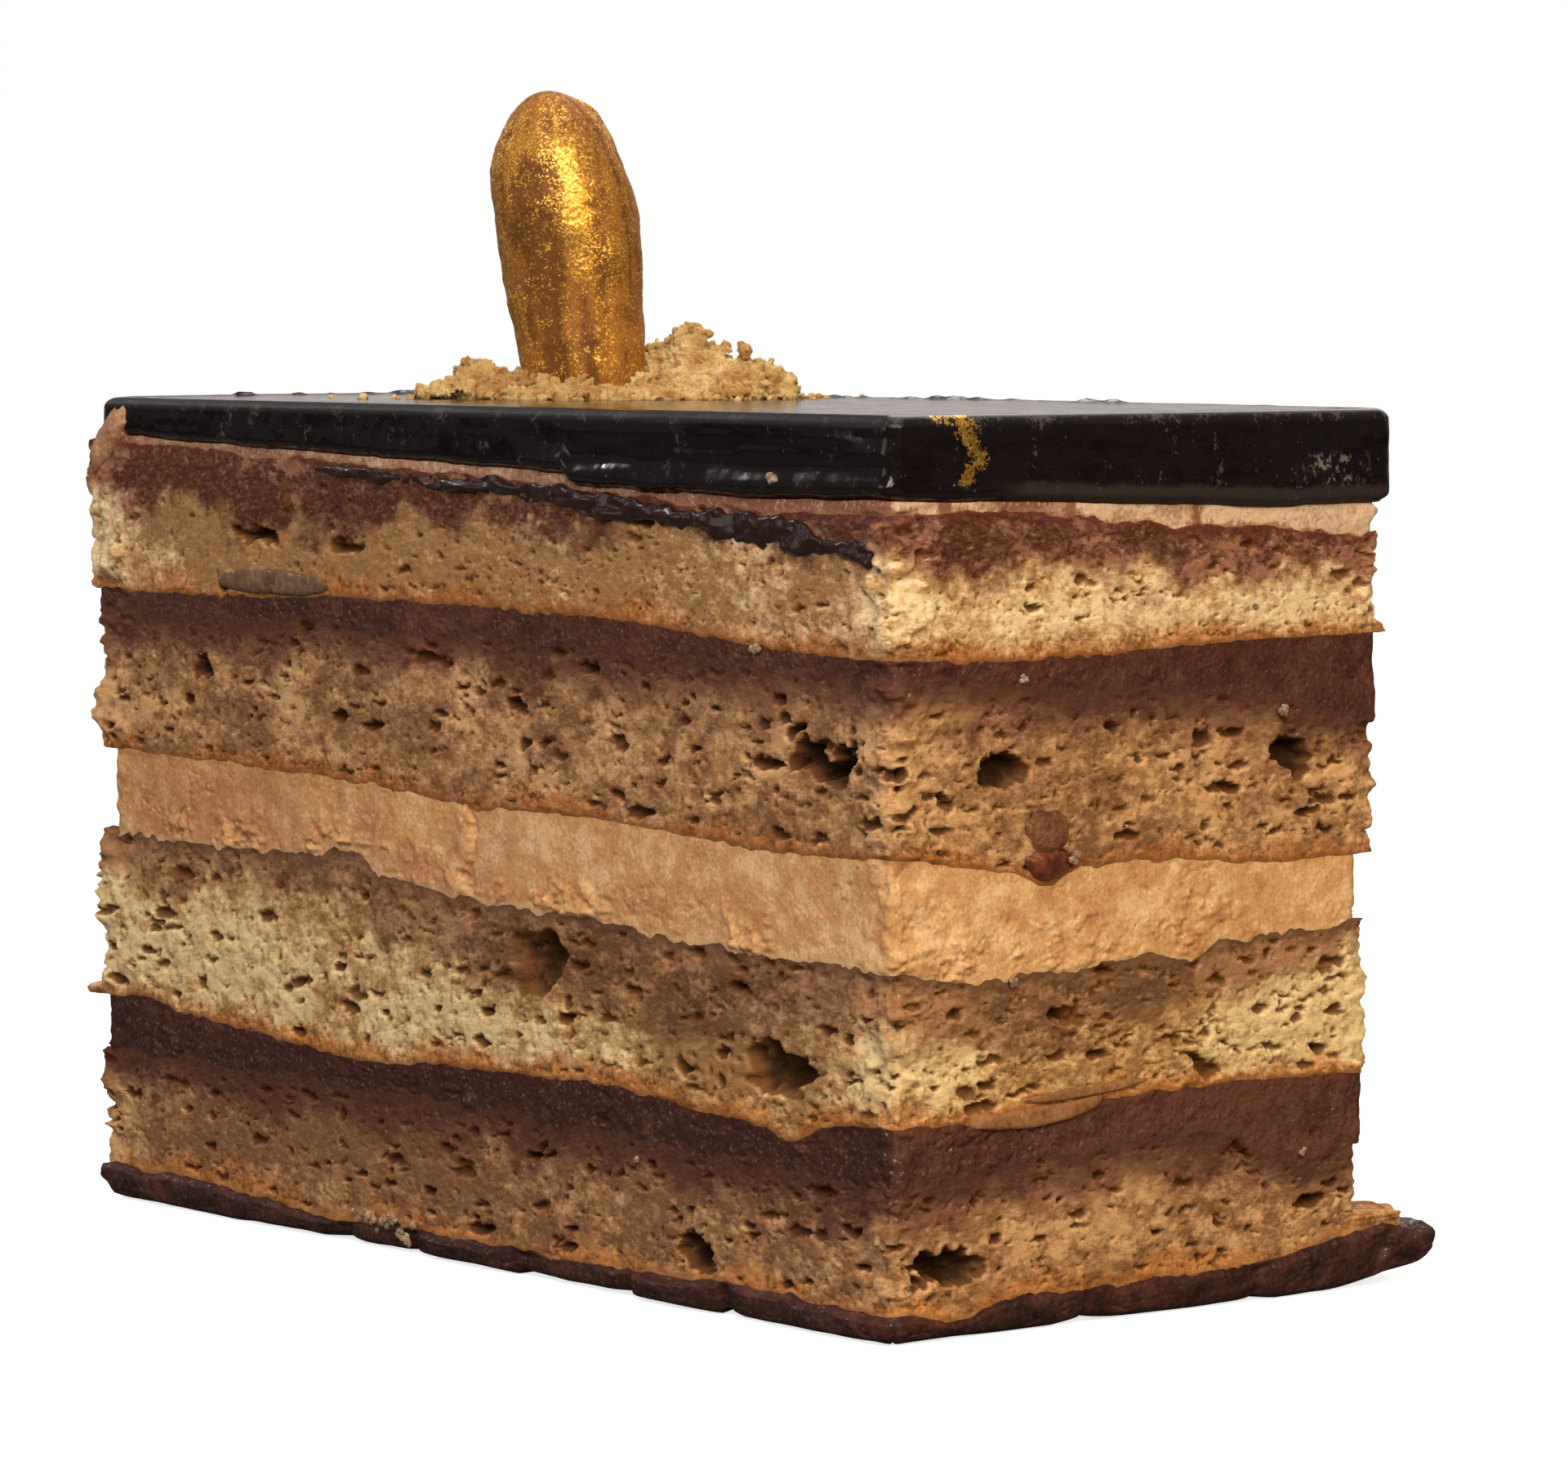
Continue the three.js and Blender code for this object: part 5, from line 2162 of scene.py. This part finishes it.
                tears=each(Tear, (FRONT, -24, 45.8, 2.6, 0.7, 1.4), (FRONT, -14, 46, 1.6, 0.8, 1.2)),
                blotches=each(
                    Blotch, (FRONT, -18, 46, 20, 4, -1.4), (FRONT, 14, 45, 30, 5, -0.8),
                    (RIGHT, 4, 43, 16, 1.6, 0.6), (RIGHT, 0, 48.6, 40, 2.4, -0.6),
                ),
                spurs=(Spur((41, 18.1, -1), (60, 60, 0.9), (0.1, 0.8)),),
            ),
            Cream(
                "buttercream_top", "buttercream", c[8], c[9], (-0.15, -0.35, -0.6, 0.2), 39, rows=16,
                colours=thin, chips=0.06, cracks=0.08,
                blotches=each(
                    Blotch, (FRONT, 30, 50, 17, 9, -1.5), (RIGHT, -9.8, 49.5, 2.6, 9, -3.6),
                    (RIGHT, 0, 49, 30, 9, 1.2), (RIGHT, -15.8, 49.5, 0.4, 9, -4),
                    (RIGHT, -6, 49.5, 0.3, 9, -3.5), (RIGHT, 4.3, 49, 0.5, 9, -3),
                ),
            ),
            Glaze("chocolate_glaze", "glaze", c[9], c[10], (0.2, 0.2, 0.5, 0.1), 40),
        ]

    def build(self) -> None:
        """Builds every layer, then the topping and the small dressings."""
        for layer in self.layers:
            layer.build()
        for extra in (Nut(), Crumble(), WetSeam()):
            extra.build()
        self.build_smears()
        build_crumbs()

    @staticmethod
    def build_smears() -> None:
        """The flakes of tan cream pressed on the faces, and a drop of burnt caramel."""
        tan = CreamFinish(
            "tan_flake", srgb(112, 70, 40), srgb(140, 92, 54), srgb(164, 114, 70),
            srgb(100, 56, 30), 0.55, 0.4, 0.03, 0.2,
        ).material()
        dull = CreamFinish(
            "dull_flake", srgb(80, 55, 37), srgb(104, 75, 51), srgb(130, 97, 67),
            srgb(76, 50, 32), 0.55, 0.4, 0.03, 0.2,
        ).material()
        curl = CreamFinish(
            "curled_cream", srgb(140, 92, 62), srgb(172, 122, 88), srgb(204, 158, 120),
            srgb(140, 92, 62), 0.45, 0.3, 0.06, 0.3, 0.15,
        ).material()
        damp = CreamFinish(
            "damp_crumb", srgb(84, 48, 27), srgb(110, 67, 38), srgb(138, 91, 56),
            srgb(120, 70, 40), 0.45, 0.3, 0.14, 0.25, 0.3,
        ).material()
        amber = CaramelFinish().material()
        for name, material, slot, smear in (
            ("cream_flake_long", dull, "buttercream", (FRONT, -22.5, 43, 6.5, 0.85, 0.25, 0, 0.08)),
            ("cream_flake_low", tan, "buttercream", (RIGHT, -9, 12.8, 6, 0.62, 0.25, 0.05, 0.08, 0.5)),
            ("cream_flake_high", tan, "buttercream", (RIGHT, -4.8, 14.1, 5, 0.34, 0.22, 0.06, 0.1)),
            ("cream_curl", curl, "buttercream", (FRONT, -41.6, 52.3, 2.9, 1.1, 0.8, 0.75, 0.15, 0, 3)),
            ("caramel_drop", amber, "buttercream", (RIGHT, -7.9, 27.9, 1.7, 0.9, 0.5, 0, 0.1, 0.2, 3)),
            ("damp_crumb", damp, "sponge", (RIGHT, -8, 30, 1.65, 1.3, 0.3, 0, 0.1, 0, 2.4)),
        ):
            Smear(*smear).build(name, material, slot)


@dataclass(frozen=True)
class Studio:
    """The pale sweep, the soft lights and the camera."""

    azimuth: float = 51.52
    elevation: float = 3.77
    distance: float = 441.15
    aside: float = 4.53
    target: float = 33.5
    lens: float = 154.48

    def build(self) -> None:
        """Sets all of it up."""
        self.sweep()
        self.world()
        for lamp in (
            ("front", (385, -305, 340), 280, 2.75, (0.98, 0.99, 1.0)),
            ("lamp", (550, -60, 228), 160, 1.2, (1.0, 0.8, 0.34)),
            ("side", (-260, -520, 150), 300, 0.42, (1.0, 0.94, 0.86)),
            ("window", (-390, -60, 330), 260, 0.14, (0.95, 0.98, 1.0)),
            ("glint", (-430, -150, 300), 24, 0.09, (0.98, 0.99, 1.0)),
            ("spark", (215, -430, 240), 60, 0.34, (1.0, 0.98, 0.96)),
            ("top", (0, 40, 420), 260, 0.6, (1.0, 0.98, 0.95)),
            ("back", (-260, 400, 430), 400, 1.0, (1.0, 0.97, 0.93)),
        ):
            self.light(*lamp)
        self.camera()

    def sweep(self) -> None:
        """A floor that curves up into a backdrop behind the slice, as seen by the camera."""
        straight, bend, wall = 1500.0, 500.0, 1600.0
        turn = np.linspace(0, math.pi / 2, 24)
        run = np.concatenate([[-1500.0], 600 + bend * np.sin(turn)])
        rise = np.concatenate([[0.0], bend * (1 - np.cos(turn))])
        run, rise = np.append(run, run[-1]), np.append(rise, rise[-1] + wall)
        angle = math.radians(self.azimuth)
        away = np.array([-math.sin(angle), math.cos(angle)])
        side = np.array([math.cos(angle), math.sin(angle)])
        points = [
            (*(away * far + side * s * straight), high - 0.06)
            for far, high in zip(run, rise) for s in (-1, 1)
        ]
        here = np.arange(len(run) - 1) * 2
        faces = np.stack([here, here + 1, here + 3, here + 2], -1)
        sweep = link("floor_sweep", mesh_of("floor_sweep", np.array(points), [faces]))
        sweep.data.materials.append(self.paper())

    @staticmethod
    def paper() -> bpy.types.Material:
        """Pale paper, evenly bright for the camera by its own glow, that throws little light back."""
        look = Look("pale_paper", Roughness=0.9, Specular_IOR_Level=0.0)
        height = look.place().axes()[2]
        seen = look.add("LightPath", {})["Is Camera Ray"]
        level = seen * 0.75 + (1.0 - seen) * height.span(0.0, 60.0, 0.12, 0.85)
        grey = look.add("CombineColor", {"Red": level, "Green": level, "Blue": level})["Color"]
        # Painted light: for every ray but the camera's, a faint pink band up the wall glows, so that it
        # shows in reflections on the slice.
        glow = height.span(10.0, 60.0) * height.span(260.0, 150.0) * 0.36
        look["Base Color"] = grey
        look["Emission Color"] = look.blend(seen, (1.0, 0.84, 0.82), (1.0, 1.0, 1.0))
        look["Emission Strength"] = seen * 0.76 + (1.0 - seen) * glow
        return look.material

    def world(self) -> None:
        """A plain pale sky."""
        world = bpy.data.worlds.new("studio")
        world.use_nodes = True
        sky = world.node_tree.nodes["Background"].inputs
        sky["Color"].default_value = (0.97, 0.98, 1.0, 1.0)
        sky["Strength"].default_value = 0.16
        bpy.context.scene.world = world

    def light(self, name: str, place: tuple, size: float, power: float, colour: Colour) -> None:
        """A square soft light that looks at the slice's middle.

        Args:
            name: the light's name.
            place: where it stands, in millimetres.
            size: the side of its square, in millimetres.
            power: its watts.
            colour: its colour.
        """
        data = bpy.data.lights.new(name, "AREA")
        data.size = size * MM
        data.energy = power
        data.color = colour
        lamp = bpy.data.objects.new(name, data)
        bpy.context.scene.collection.objects.link(lamp)
        lamp.location = [c * MM for c in place]
        aim = Vector((0, 0, 30 * MM)) - lamp.location
        lamp.rotation_euler = aim.to_track_quat("-Z", "Y").to_euler()

    def camera(self) -> None:
        """Looks from the front right, a little above the glaze."""
        a, e = math.radians(self.azimuth), math.radians(self.elevation)
        data = bpy.data.cameras.new("camera")
        data.lens = self.lens
        data.clip_start = 0.01
        data.clip_end = 50
        camera = bpy.data.objects.new("camera", data)
        bpy.context.scene.collection.objects.link(camera)
        target = np.array([math.cos(a) * self.aside, math.sin(a) * self.aside, self.target])
        back = np.array([math.sin(a) * math.cos(e), -math.cos(a) * math.cos(e), math.sin(e)])
        camera.location = (target + back * self.distance) * MM
        camera.rotation_euler = (math.pi / 2 - e, 0, a)
        bpy.context.scene.camera = camera


def main() -> None:
    """Loads the frame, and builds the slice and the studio."""
    logging.basicConfig(level=logging.INFO, format="%(name)s %(message)s")
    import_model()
    Slice().build()
    Studio().build()
    bpy.context.scene.view_settings.view_transform = "Standard"


if __name__ == "__main__":
    main()
